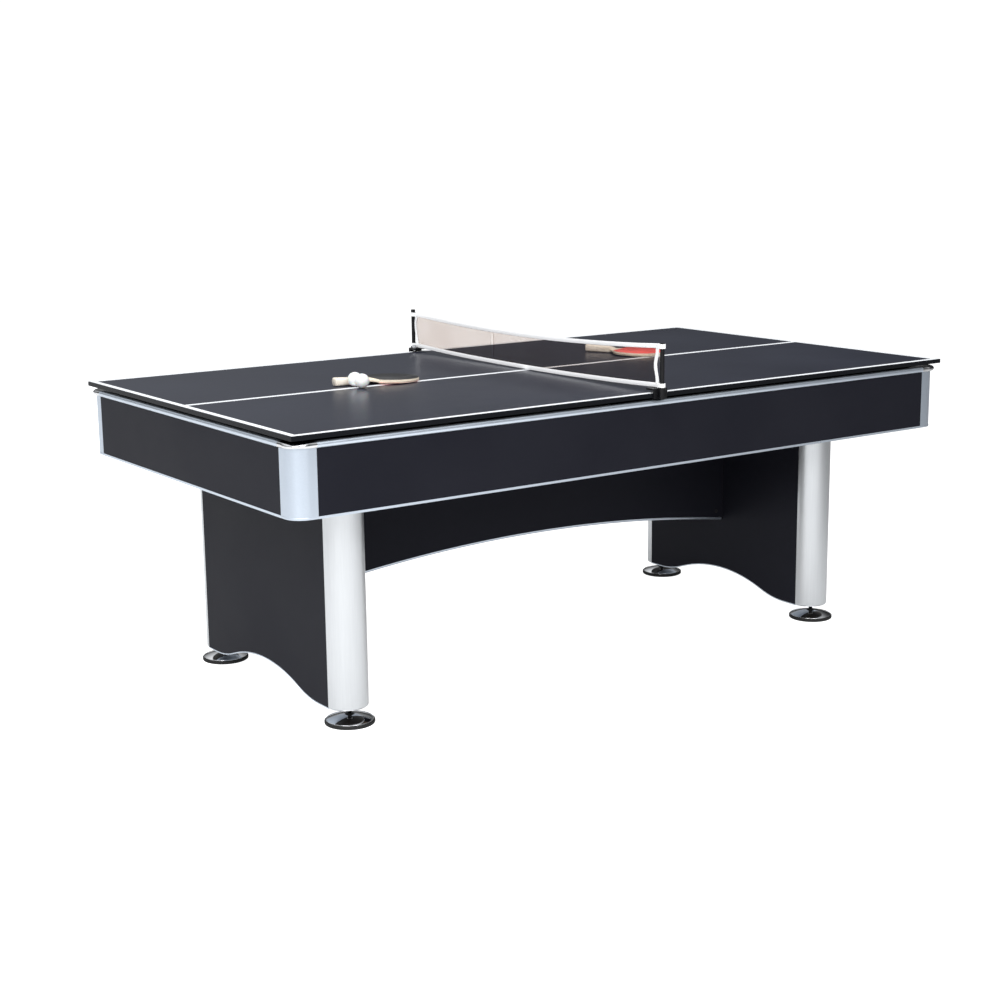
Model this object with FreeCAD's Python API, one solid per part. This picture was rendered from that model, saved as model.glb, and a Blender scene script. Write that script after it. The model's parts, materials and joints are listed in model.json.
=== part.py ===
import FreeCAD, Part
import math
import os

# A pool table about 7 ft long with a two-piece table tennis top laid on its rails.
# Millimetres. X runs along the table, Y across it, Z up. The origin is on the floor
# under the middle of the table. "left" is -X, "right" is +X, "front" is -Y, "back" is +Y.

V = FreeCAD.Vector

# Table tennis top
TOP_LENGTH = 2210.0
TOP_WIDTH = 1200.0
TOP_THICK = 12.0
TOP_HEIGHT = 811.0
SEAM_GAP = 0.6
PAD_THICK = 8.0
PAD_WIDTH = 30.0
PAD_LENGTH = 260.0
PAD_INSET = 4.0
LONG_PAD_STARTS = (150.0, 650.0)
END_PAD_START = 90.0
DOWEL_R = 3.9
DOWEL_LENGTH = 36.0
DOWEL_CLEAR = 0.05
DOWEL_Y = 300.0

# Cabinet
CASE_X = 1100.0
CASE_Y = 592.0
CORNER_R = 46.0
CORNER_FLAT = 19.0
CORNER_RUN = CORNER_R + CORNER_FLAT
BOARD = 15.0
CASE_BOTTOM = 607.0
STRIP = 6.0
STRIP_PROUD = 0.8
TRIM_HEIGHT = 15.0
TRIM_BULGE = 5.0
CAP_BULGE = 11.0
RAIL_TOP = TOP_HEIGHT - TOP_THICK - PAD_THICK
APRON_TOP = RAIL_TOP - TRIM_HEIGHT

# Playing bed, rails and cushions
BED_TOP = 750.0
CLOTH = 1.0
BED_THICK = 18.0
RAIL_WIDTH = 102.0
CUSHION_DEPTH = 38.0
NOSE_HEIGHT = 36.0
CORNER_POCKET_R = 58.0
SIDE_POCKET_R = 52.0
CORNER_POCKET_X = CASE_X - 88.0
CORNER_POCKET_Y = CASE_Y - 88.0
SIDE_POCKET_Y = CASE_Y - 75.0
CAP_LEG = 12.0
SIDE_CAP_HALF = 62.0
CORNER_MOUTH = 82.0
SIDE_MOUTH = 64.0
CORNER_FACING = math.radians(38)
SIDE_FACING = math.radians(76)
CUP_DEPTH = 108.0
CUP_WALL = 2.5
CUP_TAPER = 7.0
CUP_SHOULDER = 8.0
CUP_EDGE = 5.0
CUP_CLEAR = 0.3
CUSHION_CLEAR = 1.0
CUSHION_TOE = 7.0
NOSE_DROP = 8.0
NOSE_BACK = 3.0

# Cross beams and pedestals
BEAM_HEIGHT = 60.0
LEG_BEAM = 120.0
MID_BEAM = 40.0
MID_BEAM_X = 280.0
PEDESTAL_X = 832.0
COLUMN_Y = 345.0
COLUMN_R = 56.0
COLUMN_BOTTOM = 44.0
COLUMN_EDGE_R = 5.0
ARCH_FLAT = 47.0
ARCH_RISE = 53.0
ARCH_HALF = 296.0
ARCH_SPLIT = 0.64
ARCH_STRIP = 3.0
BEAM_BOTTOM = BED_TOP - CLOTH - BED_THICK - BEAM_HEIGHT

# Stretcher
STRETCHER_THICK = 16.0
STRETCHER_TOP = 640.0
STRETCHER_MID = 325.0
STRETCHER_SAG = 60.0
STRETCHER_STRIP = 8.0
BRACKET = 30.0
BRACKET_THICK = 3.0
BRACKET_HEIGHT = 60.0
BRACKET_Z = 480.0
BRACKET_HOLE = 15.0
BRACKET_BOLT_R = 3.0
BRACKET_HEAD_R = 6.0
BRACKET_HEAD = 4.0
SCREW_CAP_R = 6.0
SCREW_CAP_THICK = 1.2
SCREW_CAP_INSET = 28.0
SCREW_CAP_RISE = 25.0

# Leg bolts, from the beams down into the columns
LEG_BOLT_R = 4.0
LEG_BOLT_HEAD_R = 8.5
LEG_BOLT_HEAD = 5.5
LEG_BOLT_X = 28.0
LEG_BOLT_Y = COLUMN_Y + 23.0
LEG_BOLT_REACH = 34.0
LEG_BOLT_SINK = 9.0
BOLT_CLEAR = 0.2

# Levelers
FOOT_Y = 356.0
FOOT_PAD_R = 66.0
FOOT_PAD_THICK = 10.0
DISH_R = 62.5
DISH_RIM = 1.0
DISH_MIDDLE = 18.5
DISH_TOP = 23.0
DISH_TOP_R = 14.0
STEM_R = 6.0
STEM_TOP = 98.0
INSERT_R = 9.0
INSERT_LENGTH = 16.0
THREAD_CLEAR = 0.08

# Net set
NET_HALF = 603.0
TAPE = 12.0
TAPE_THICK = 2.4
MESH_THICK = 1.0
POST_Y = 610.5
POST_R = 6.0
POST_TOP = 943.0
CLAMP_HALF = 23.0
POST_BOTTOM = 801.0
POST_CAP = 10.0
NET_TOP_FRONT = 941.0
NET_TOP_MIDDLE = 918.0
NET_TOP_BACK = 934.0
NET_LOW_END = 827.0
NET_LOW_MIDDLE = 814.0
CLAMP_TOP = 823.0
CLAMP_WEB = 3.7
CLAMP_LOWER = 2.7
CLAMP_UPPER = 5.0
CLAMP_CLEAR = 0.3
SOCKET_WALL = 3.5
JAW_DEPTH = 27.0
SCREW_X = -13.0
SCREW_Y = TOP_WIDTH / 2 - 14.0
SCREW_R = 3.0
KNOB_R = 7.5
KNOB_NOTCHES = 12
CLAMP_PAD_R = 6.5
CLAMP_PAD_THICK = 3.0

# Bats and balls
BAT_LENGTH = 258.0
HANDLE_LENGTH = 100.0
BLADE_LONG = 79.0
BLADE_WIDE = 75.0
BLADE_THICK = 10.0
HANDLE_WIDE = 28.0
HANDLE_THICK = 23.0
HANDLE_ROUND = 7.0
LEFT_BAT_PLACE = (-612.0, 58.0)
LEFT_BAT_HEADING = -3.0
RIGHT_BAT_PLACE = (412.0, 237.0)
RIGHT_BAT_HEADING = -66.0
BALL_R = 20.0
BALL_PLACES = ((-568.0, 20.0), (-569.0, -20.2))

SIDES = ((-1, "left"), (1, "right"))
ENDS = ((-1, "front"), (1, "back"))


def save(name, *solids):
    shape = solids[0] if len(solids) == 1 else Part.makeCompound(list(solids))
    assert shape.isValid(), name
    shape.exportStep("parts/" + name + ".step")
    print("%-28s %3d solids %10.1f cm3" % (name, len(shape.Solids), shape.Volume / 1000.0))


def box(x0, x1, y0, y1, z0, z1):
    low = V(min(x0, x1), min(y0, y1), min(z0, z1))
    return Part.makeBox(abs(x1 - x0), abs(y1 - y0), abs(z1 - z0), low)


def cylinder(x, y, z0, z1, radius):
    return Part.makeCylinder(radius, z1 - z0, V(x, y, z0))


def mirror_x(shape):
    return shape.mirror(V(0, 0, 0), V(1, 0, 0))


def mirror_y(shape):
    return shape.mirror(V(0, 0, 0), V(0, 1, 0))


def placed(shape, sx, sy):
    """The shape made for the +X, +Y quarter, moved to the quarter with these signs."""
    if sx < 0:
        shape = mirror_x(shape)
    if sy < 0:
        shape = mirror_y(shape)
    return shape


def four(shape):
    return [placed(shape, sx, sy) for sx in (-1, 1) for sy in (-1, 1)]


def face_of(edges):
    return Part.Face(Part.Wire(edges))


def polygon(points):
    return Part.Face(Part.makePolygon(points + [points[0]]))


def rounded_plan(half_x, half_y, radius, z0, z1):
    """An upright slab with the same radius on its four upright edges."""
    slab = box(-half_x, half_x, -half_y, half_y, z0, z1)
    upright = [e for e in slab.Edges if abs(e.tangentAt(e.FirstParameter).z) > 0.9]
    return slab.makeFillet(radius, upright)


# ---- Cabinet ----

def corner_wall(proud, z0, z1):
    """The wall round the cabinet's +X, +Y corner: a quarter ring with a flat at each of its ends."""
    x = CASE_X - CORNER_R
    y = CASE_Y - CORNER_R
    outer = CORNER_R + proud
    inner = CORNER_R - BOARD
    ring = Part.makeCylinder(outer, z1 - z0, V(x, y, z0), V(0, 0, 1), 90)
    ring = ring.cut(Part.makeCylinder(inner, z1 - z0, V(x, y, z0), V(0, 0, 1), 90))
    long_flat = box(x - CORNER_FLAT, x, y + inner, y + outer, z0, z1)
    end_flat = box(x + inner, x + outer, y - CORNER_FLAT, y, z0, z1)
    return ring.fuse([long_flat, end_flat])


def corner_castings():
    wall = corner_wall(0, CASE_BOTTOM + STRIP, APRON_TOP)
    lip = corner_wall(STRIP_PROUD, CASE_BOTTOM, CASE_BOTTOM + STRIP)
    save("corner_castings", *four(wall.fuse(lip).removeSplitter()))


def aprons():
    run_x = CASE_X - CORNER_RUN
    run_y = CASE_Y - CORNER_RUN
    bottom = CASE_BOTTOM + STRIP
    strips = []
    for sign, name in ENDS:
        inner = sign * (CASE_Y - BOARD)
        save("apron_" + name, box(-run_x, run_x, inner, sign * CASE_Y, bottom, APRON_TOP))
        strips.append(box(-run_x, run_x, inner, sign * (CASE_Y + STRIP_PROUD), CASE_BOTTOM, bottom))
    for sign, name in SIDES:
        inner = sign * (CASE_X - BOARD)
        save("apron_" + name, box(inner, sign * CASE_X, -run_y, run_y, bottom, APRON_TOP))
        strips.append(box(inner, sign * (CASE_X + STRIP_PROUD), -run_y, run_y, CASE_BOTTOM, bottom))
    save("apron_edge_strips", *strips)


def trim_edges(inner, outer, bulge, point):
    """The bullnose outline between the apron's top and the rail's top."""
    middle = (APRON_TOP + RAIL_TOP) / 2
    low_in = point(inner, APRON_TOP)
    low_out = point(outer, APRON_TOP)
    high_out = point(outer, RAIL_TOP)
    high_in = point(inner, RAIL_TOP)
    return [Part.makeLine(low_in, low_out),
            Part.Arc(low_out, point(outer + bulge, middle), high_out).toShape(),
            Part.makeLine(high_out, high_in),
            Part.makeLine(high_in, low_in)]


def rail_trims():
    run_x = CASE_X - CORNER_RUN
    run_y = CASE_Y - CORNER_RUN
    long_face = face_of(trim_edges(CASE_Y - BOARD, CASE_Y, TRIM_BULGE, lambda r, z: V(-run_x, r, z)))
    end_face = face_of(trim_edges(CASE_X - BOARD, CASE_X, TRIM_BULGE, lambda r, z: V(r, -run_y, z)))
    long_trim = long_face.extrude(V(2 * run_x, 0, 0))
    end_trim = end_face.extrude(V(0, 2 * run_y, 0))
    save("rail_trims", long_trim, mirror_y(long_trim), end_trim, mirror_x(end_trim))


def cross_beams():
    top = BED_TOP - CLOTH - BED_THICK
    reach = CASE_Y - BOARD
    beams = []
    for sign, _ in SIDES:
        x = sign * PEDESTAL_X
        beam = box(x - LEG_BEAM / 2, x + LEG_BEAM / 2, -reach, reach, BEAM_BOTTOM, top)
        for bx, by in leg_bolt_places(sign):
            beam = beam.cut(cylinder(bx, by, BEAM_BOTTOM, top, LEG_BOLT_R + BOLT_CLEAR))
            beam = beam.cut(cylinder(bx, by, top - LEG_BOLT_SINK, top, LEG_BOLT_HEAD_R + 1.5))
        beams.append(beam)
        x = sign * MID_BEAM_X
        beams.append(box(x - MID_BEAM / 2, x + MID_BEAM / 2, -reach, reach, BEAM_BOTTOM, top))
    save("cross_beams", *beams)


# ---- Bed, rails, cushions and pockets ----

def pocket_tools(z0, z1):
    """Upright cylinders through the four corner pockets and the two side pockets."""
    corner = cylinder(CORNER_POCKET_X, CORNER_POCKET_Y, z0, z1, CORNER_POCKET_R)
    side = cylinder(0, SIDE_POCKET_Y, z0, z1, SIDE_POCKET_R)
    return four(corner) + [side, mirror_y(side)]


def bed_plan(z0, z1):
    """The bed's whole outline, just inside the casing."""
    gap = 1.0
    return rounded_plan(CASE_X - BOARD - gap, CASE_Y - BOARD - gap, CORNER_R - BOARD - gap, z0, z1)


def corner_cut(z0, z1, clear):
    """What the bed board leaves to a corner pocket's cup: its corner, cut off straight."""
    reach = CORNER_POCKET_R + CUP_EDGE - clear
    wedge = box(-reach, CASE_X, -CASE_X, CASE_X, z0, z1)
    wedge.rotate(V(0, 0, 0), V(0, 0, 1), 45)
    wedge.translate(V(CORNER_POCKET_X, CORNER_POCKET_Y, 0))
    return wedge


def side_cut(z0, z1, clear):
    """What the bed board leaves to a side pocket's cup: a square notch."""
    half = SIDE_POCKET_R + CUP_EDGE - clear
    return box(-half, half, SIDE_POCKET_Y - half, CASE_Y, z0, z1)


def bed():
    top = BED_TOP - CLOTH
    low = top - BED_THICK
    notch = side_cut(low, top, 0)
    cuts = four(corner_cut(low, top, 0)) + [notch, mirror_y(notch)]
    save("bed_board", bed_plan(low, top).cut(cuts))
    save("bed_cloth", bed_plan(top, BED_TOP).cut(pocket_tools(top, BED_TOP)))


def rails():
    tools = pocket_tools(BED_TOP, RAIL_TOP)
    out_x = CASE_X - BOARD
    out_y = CASE_Y - BOARD
    in_x = CASE_X - RAIL_WIDTH + CUSHION_DEPTH
    in_y = CASE_Y - RAIL_WIDTH + CUSHION_DEPTH
    end_x = CORNER_POCKET_X - CAP_LEG
    end_y = CORNER_POCKET_Y - CAP_LEG
    long_rail = box(SIDE_CAP_HALF, end_x, in_y, out_y, BED_TOP, RAIL_TOP).cut(tools)
    for sx, side in SIDES:
        for sy, end in ENDS:
            save("rail_" + end + "_" + side, placed(long_rail, sx, sy))
    end_rail = box(in_x, out_x, -end_y, end_y, BED_TOP, RAIL_TOP).cut(tools)
    save("rail_end_right", end_rail)
    save("rail_end_left", mirror_x(end_rail))


def cushion_section(nose, point):
    """The rubber's outline: a blunt nose over the bed, the back against the rail's wood."""
    back = nose + CUSHION_DEPTH
    return polygon([point(nose, BED_TOP + NOSE_HEIGHT),
                    point(back, RAIL_TOP - CUSHION_CLEAR),
                    point(back, BED_TOP + CUSHION_TOE),
                    point(nose + NOSE_BACK, BED_TOP + NOSE_HEIGHT - NOSE_DROP)])


def cushions():
    tools = pocket_tools(BED_TOP, RAIL_TOP)
    nose_x = CASE_X - RAIL_WIDTH
    nose_y = CASE_Y - RAIL_WIDTH
    corner_run = CUSHION_DEPTH / math.tan(CORNER_FACING)
    side_run = CUSHION_DEPTH / math.tan(SIDE_FACING)
    far = nose_x - CORNER_MOUTH
    long_plan = polygon([V(SIDE_MOUTH, nose_y, BED_TOP),
                         V(far, nose_y, BED_TOP),
                         V(far + corner_run, nose_y + CUSHION_DEPTH, BED_TOP),
                         V(SIDE_MOUTH - side_run, nose_y + CUSHION_DEPTH, BED_TOP)])
    section = cushion_section(nose_y, lambda r, z: V(0, r, z))
    long_bar = section.extrude(V(CASE_X, 0, 0))
    height = RAIL_TOP - BED_TOP
    cushion = long_bar.common(long_plan.extrude(V(0, 0, height))).cut(tools)
    save("long_cushions", *four(cushion))
    far = nose_y - CORNER_MOUTH
    end_plan = polygon([V(nose_x, -far, BED_TOP),
                        V(nose_x, far, BED_TOP),
                        V(nose_x + CUSHION_DEPTH, far + corner_run, BED_TOP),
                        V(nose_x + CUSHION_DEPTH, -far - corner_run, BED_TOP)])
    section = cushion_section(nose_x, lambda r, z: V(r, -CASE_Y, z))
    end_bar = section.extrude(V(0, 2 * CASE_Y, 0))
    cushion = end_bar.common(end_plan.extrude(V(0, 0, height))).cut(tools)
    save("end_cushions", cushion, mirror_x(cushion))


def corner_pocket_caps():
    """Chromed castings: a throat wall inside the case, and a rounded lip over its corner."""
    axis_x = CASE_X - CORNER_R
    axis_y = CASE_Y - CORNER_R
    low_x = CORNER_POCKET_X - CAP_LEG
    low_y = CORNER_POCKET_Y - CAP_LEG
    high_x = CASE_X - BOARD
    high_y = CASE_Y - BOARD
    legs = box(low_x, high_x, low_y, high_y, BED_TOP, RAIL_TOP)
    square = box(axis_x, high_x, axis_y, high_y, BED_TOP, RAIL_TOP)
    legs = legs.cut(square)
    axis = V(axis_x, axis_y, BED_TOP)
    throat = Part.makeCylinder(CORNER_R - BOARD, RAIL_TOP - BED_TOP, axis, V(0, 0, 1), 90)
    profile = face_of(trim_edges(axis_x, CASE_X, CAP_BULGE, lambda r, z: V(r, axis_y, z)))
    lip = profile.revolve(V(axis_x, axis_y, 0), V(0, 0, 1), 90)
    end_face = face_of(trim_edges(high_x, CASE_X, CAP_BULGE, lambda r, z: V(r, axis_y, z)))
    long_face = face_of(trim_edges(high_y, CASE_Y, CAP_BULGE, lambda r, z: V(axis_x, r, z)))
    end_lip = end_face.extrude(V(0, -CORNER_FLAT, 0))
    long_lip = long_face.extrude(V(-CORNER_FLAT, 0, 0))
    cap = legs.fuse([throat, lip, end_lip, long_lip])
    cap = cap.cut(pocket_tools(BED_TOP, RAIL_TOP)).removeSplitter()
    save("corner_pocket_caps", *four(cap))


def side_pocket_caps():
    in_y = CASE_Y - RAIL_WIDTH + CUSHION_DEPTH
    block = box(-SIDE_CAP_HALF, SIDE_CAP_HALF, in_y, CASE_Y - BOARD, BED_TOP, RAIL_TOP)
    cap = block.cut(pocket_tools(BED_TOP, RAIL_TOP))
    save("side_pocket_caps", cap, mirror_y(cap))


def pocket_cup(x, y, radius, plate):
    """A tapered cup with a closed floor. Its rim is part of a plate set level with the board's top."""
    rim = BED_TOP - CLOTH
    floor = rim - CUP_DEPTH
    outer = Part.makeCone(radius - CUP_TAPER, radius, CUP_DEPTH, V(x, y, floor))
    inner_low = radius - CUP_TAPER - CUP_WALL
    inside = V(x, y, floor + CUP_WALL)
    inner = Part.makeCone(inner_low, radius - CUP_WALL, CUP_DEPTH - CUP_WALL, inside)
    return outer.fuse(plate).removeSplitter().cut(inner)


def pocket_cups():
    rim = BED_TOP - CLOTH
    low = rim - CUP_SHOULDER
    plan = bed_plan(low, rim)
    corner_plate = plan.common(corner_cut(low, rim, CUP_CLEAR))
    side_plate = plan.common(side_cut(low, rim, CUP_CLEAR))
    corner = pocket_cup(CORNER_POCKET_X, CORNER_POCKET_Y, CORNER_POCKET_R, corner_plate)
    side = pocket_cup(0, SIDE_POCKET_Y, SIDE_POCKET_R, side_plate)
    save("pocket_cups", *(four(corner) + [side, mirror_y(side)]))


# ---- Pedestals ----

def arch_edges(drop):
    """The pedestal's bottom edge from +Y to -Y: flat, hollow curve, crown, hollow curve, flat."""
    turn = 2 * math.atan(ARCH_RISE / ARCH_HALF)
    radii = ARCH_HALF / math.sin(turn)
    crown_r = radii * ARCH_SPLIT
    foot_r = radii - crown_r
    flat = ARCH_FLAT - drop
    crown = flat + ARCH_RISE
    meet_y = crown_r * math.sin(turn)
    meet_z = crown - crown_r * (1 - math.cos(turn))
    crown_y = crown_r * math.sin(turn / 2)
    foot_y = ARCH_HALF - foot_r * math.sin(turn / 2)
    foot_z = flat + foot_r * (1 - math.cos(turn / 2))
    assert crown_y < meet_y
    edges = [Part.makeLine(V(0, COLUMN_Y, flat), V(0, ARCH_HALF, flat)),
             Part.Arc(V(0, ARCH_HALF, flat), V(0, foot_y, foot_z), V(0, meet_y, meet_z)).toShape(),
             Part.Arc(V(0, meet_y, meet_z), V(0, 0, crown), V(0, -meet_y, meet_z)).toShape(),
             Part.Arc(V(0, -meet_y, meet_z), V(0, -foot_y, foot_z), V(0, -ARCH_HALF, flat)).toShape(),
             Part.makeLine(V(0, -ARCH_HALF, flat), V(0, -COLUMN_Y, flat))]
    return edges


def pedestal_panel():
    """A box with the arched bottom edge, hollow from its open top down to a sill."""
    rise = [Part.makeLine(V(0, -COLUMN_Y, ARCH_FLAT), V(0, -COLUMN_Y, BEAM_BOTTOM)),
            Part.makeLine(V(0, -COLUMN_Y, BEAM_BOTTOM), V(0, COLUMN_Y, BEAM_BOTTOM)),
            Part.makeLine(V(0, COLUMN_Y, BEAM_BOTTOM), V(0, COLUMN_Y, ARCH_FLAT))]
    solid = face_of(arch_edges(0) + rise).extrude(V(2 * COLUMN_R, 0, 0))
    solid.translate(V(PEDESTAL_X - COLUMN_R, 0, 0))
    sill = ARCH_FLAT + ARCH_RISE + BOARD
    inner = COLUMN_R - BOARD
    reach = COLUMN_Y - BOARD
    hollow = box(PEDESTAL_X - inner, PEDESTAL_X + inner, -reach, reach, sill, BEAM_BOTTOM)
    return solid.cut(hollow)


def pedestal_strip():
    ends = [Part.makeLine(V(0, -COLUMN_Y, ARCH_FLAT - ARCH_STRIP), V(0, -COLUMN_Y, ARCH_FLAT)),
            Part.makeLine(V(0, COLUMN_Y, ARCH_FLAT), V(0, COLUMN_Y, ARCH_FLAT - ARCH_STRIP))]
    wire = Part.Wire(Part.__sortEdges__(arch_edges(0) + arch_edges(ARCH_STRIP) + ends))
    strip = Part.Face(wire).extrude(V(2 * COLUMN_R, 0, 0))
    strip.translate(V(PEDESTAL_X - COLUMN_R, 0, 0))
    return strip


def leg_bolt_places(sx):
    """Two bolts down into the top of each column of the pedestal on side sx."""
    middle = sx * PEDESTAL_X
    return [(middle + dx, sy * LEG_BOLT_Y) for dx in (-LEG_BOLT_X, LEG_BOLT_X) for sy in (-1, 1)]


def column():
    """A half-round post with a softened bottom edge, bored for the leveler and the leg bolts."""
    height = BEAM_BOTTOM - COLUMN_BOTTOM
    base = V(PEDESTAL_X, COLUMN_Y, COLUMN_BOTTOM)
    post = Part.makeCylinder(COLUMN_R, height, base, V(0, 0, 1), 180)
    low = COLUMN_BOTTOM + 1
    rim = [e for e in post.Edges if e.Curve.TypeId == "Part::GeomCircle" and e.CenterOfMass.z < low]
    post = post.makeFillet(COLUMN_EDGE_R, rim)
    insert_top = COLUMN_BOTTOM + INSERT_LENGTH
    bores = [cylinder(PEDESTAL_X, FOOT_Y, COLUMN_BOTTOM, insert_top, INSERT_R),
             cylinder(PEDESTAL_X, FOOT_Y, insert_top, STEM_TOP + 6, STEM_R + 1)]
    bored = BEAM_BOTTOM - LEG_BOLT_REACH - 2
    for x, y in leg_bolt_places(1):
        if y > 0:
            bores.append(cylinder(x, y, bored, BEAM_BOTTOM, LEG_BOLT_R + BOLT_CLEAR))
    return post.cut(bores)


def pedestals():
    panel = pedestal_panel()
    for z in bracket_bolt_z():
        for y in bracket_bolt_y():
            start = V(PEDESTAL_X - COLUMN_R, y, z)
            panel = panel.cut(Part.makeCylinder(BRACKET_BOLT_R + BOLT_CLEAR, BOARD, start, V(1, 0, 0)))
    post = column()
    strip = pedestal_strip()
    for sx, side in SIDES:
        save("pedestal_" + side, placed(panel, sx, 1))
        for sy, end in ENDS:
            save("column_" + side + "_" + end, placed(post, sx, sy))
    save("pedestal_edge_strips", strip, mirror_x(strip))


# ---- Stretcher ----

def bracket_bolt_z():
    return (BRACKET_Z + BRACKET_HEIGHT / 4, BRACKET_Z + 3 * BRACKET_HEIGHT / 4)


def bracket_bolt_y():
    middle = STRETCHER_THICK / 2 + BRACKET / 2 + 2
    return (-middle, middle)


def stretcher_arc(drop):
    """The stretcher's lower edge, one shallow arc between the pedestals, moved down by drop."""
    half = PEDESTAL_X - COLUMN_R
    end = STRETCHER_MID - STRETCHER_SAG - drop
    return Part.Arc(V(-half, 0, end), V(0, 0, STRETCHER_MID - drop), V(half, 0, end)).toShape()


def slab_of(edges, thick):
    """The outline in the XZ plane, given thickness equally both ways along Y."""
    slab = Part.Face(Part.Wire(Part.__sortEdges__(edges))).extrude(V(0, thick, 0))
    slab.translate(V(0, -thick / 2, 0))
    return slab


def stretcher():
    half = PEDESTAL_X - COLUMN_R
    end = STRETCHER_MID - STRETCHER_SAG
    board = slab_of([stretcher_arc(0),
                     Part.makeLine(V(half, 0, end), V(half, 0, STRETCHER_TOP)),
                     Part.makeLine(V(half, 0, STRETCHER_TOP), V(-half, 0, STRETCHER_TOP)),
                     Part.makeLine(V(-half, 0, STRETCHER_TOP), V(-half, 0, end))], STRETCHER_THICK)
    radius = BRACKET_BOLT_R + BOLT_CLEAR
    for x in (BRACKET_HOLE - half, half - BRACKET_HOLE):
        for z in bracket_bolt_z():
            start = V(x, -STRETCHER_THICK / 2, z)
            board = board.cut(Part.makeCylinder(radius, STRETCHER_THICK, start, V(0, 1, 0)))
    save("stretcher_board", board)
    sides = [Part.makeLine(V(s * half, 0, end - STRETCHER_STRIP), V(s * half, 0, end)) for s in (-1, 1)]
    strip = slab_of([stretcher_arc(0), stretcher_arc(STRETCHER_STRIP)] + sides, STRETCHER_THICK + 2)
    save("stretcher_edge_strip", strip)
    caps = []
    for sx in (-1, 1):
        for sy in (-1, 1):
            base = V(sx * (half - SCREW_CAP_INSET), sy * STRETCHER_THICK / 2, end + SCREW_CAP_RISE)
            caps.append(Part.makeCylinder(SCREW_CAP_R, SCREW_CAP_THICK, base, V(0, sy, 0)))
    save("stretcher_screw_caps", *caps)


def stretcher_brackets():
    half = PEDESTAL_X - COLUMN_R
    face = STRETCHER_THICK / 2
    top = BRACKET_Z + BRACKET_HEIGHT
    on_pedestal = box(half - BRACKET_THICK, half, face, face + BRACKET + 4, BRACKET_Z, top)
    on_board = box(half - BRACKET, half, face, face + BRACKET_THICK, BRACKET_Z, top)
    angle = on_pedestal.fuse(on_board).removeSplitter()
    y = bracket_bolt_y()[1]
    radius = BRACKET_BOLT_R + BOLT_CLEAR
    for z in bracket_bolt_z():
        to_pedestal = V(half - BRACKET_THICK, y, z)
        to_board = V(half - BRACKET_HOLE, face, z)
        angle = angle.cut(Part.makeCylinder(radius, BRACKET_THICK, to_pedestal, V(1, 0, 0)))
        angle = angle.cut(Part.makeCylinder(radius, BRACKET_THICK, to_board, V(0, 1, 0)))
    save("stretcher_brackets", *four(angle))


# ---- Fasteners ----

def bolt(base, axis, grip, shank_r, head_r, head_height):
    """A bolt whose head sits on base and whose shank runs along axis for grip."""
    head = Part.makeCylinder(head_r, head_height, base, axis * -1)
    return head.fuse(Part.makeCylinder(shank_r, grip, base, axis)).removeSplitter()


def bracket_bolt(base, axis, grip):
    return bolt(base, axis, grip, BRACKET_BOLT_R, BRACKET_HEAD_R, BRACKET_HEAD)


def frame_bolts():
    half = PEDESTAL_X - COLUMN_R
    face = STRETCHER_THICK / 2 + BRACKET_THICK
    seat = BED_TOP - CLOTH - BED_THICK - LEG_BOLT_SINK
    grip = seat - BEAM_BOTTOM + LEG_BOLT_REACH
    nut_height = BRACKET_HEAD + 1
    bolts = []
    for sx in (-1, 1):
        for x, y in leg_bolt_places(sx):
            down = V(0, 0, -1)
            bolts.append(bolt(V(x, y, seat), down, grip, LEG_BOLT_R, LEG_BOLT_HEAD_R, LEG_BOLT_HEAD))
        for z in bracket_bolt_z():
            x = sx * (half - BRACKET_HOLE)
            through = bracket_bolt(V(x, -face, z), V(0, 1, 0), 2 * face + nut_height + 1)
            nut = Part.makeCylinder(BRACKET_HEAD_R, nut_height, V(x, face, z), V(0, 1, 0))
            bolts.append(through.fuse(nut).removeSplitter())
            for y in bracket_bolt_y():
                base = V(sx * (half - BRACKET_THICK), y, z)
                bolts.append(bracket_bolt(base, V(sx, 0, 0), BRACKET_THICK + BOARD))
    save("frame_bolts", *bolts)


# ---- Levelers ----

def levelers():
    high = COLUMN_BOTTOM + INSERT_LENGTH
    insert = cylinder(PEDESTAL_X, FOOT_Y, COLUMN_BOTTOM, high, INSERT_R)
    insert = insert.cut(cylinder(PEDESTAL_X, FOOT_Y, COLUMN_BOTTOM, high, STEM_R + THREAD_CLEAR))
    save("leveler_inserts", *four(insert))
    pad = cylinder(PEDESTAL_X, FOOT_Y, 0, FOOT_PAD_THICK, FOOT_PAD_R)
    pad = pad.makeFillet(3, [e for e in pad.Edges if e.Curve.TypeId == "Part::GeomCircle"])
    rim = V(DISH_R, 0, FOOT_PAD_THICK + DISH_RIM)
    top = V(DISH_TOP_R, 0, DISH_TOP)
    halfway = V((DISH_R + DISH_TOP_R) / 2, 0, DISH_MIDDLE)
    rest = Part.makePolygon([top,
                             V(STEM_R, 0, DISH_TOP + 3),
                             V(STEM_R, 0, STEM_TOP),
                             V(0, 0, STEM_TOP),
                             V(0, 0, FOOT_PAD_THICK),
                             V(DISH_R, 0, FOOT_PAD_THICK),
                             rim])
    crown = Part.Arc(rim, halfway, top).toShape()
    dish = Part.Face(Part.Wire(Part.__sortEdges__(rest.Edges + [crown])))
    dish = dish.revolve(V(0, 0, 0), V(0, 0, 1), 360)
    dish.translate(V(PEDESTAL_X, FOOT_Y, 0))
    for sx, side in SIDES:
        for sy, end in ENDS:
            save("leveler_" + side + "_" + end, placed(dish, sx, sy))
            save("leveler_pad_" + side + "_" + end, placed(pad, sx, sy))


# ---- Table tennis top ----

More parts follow.
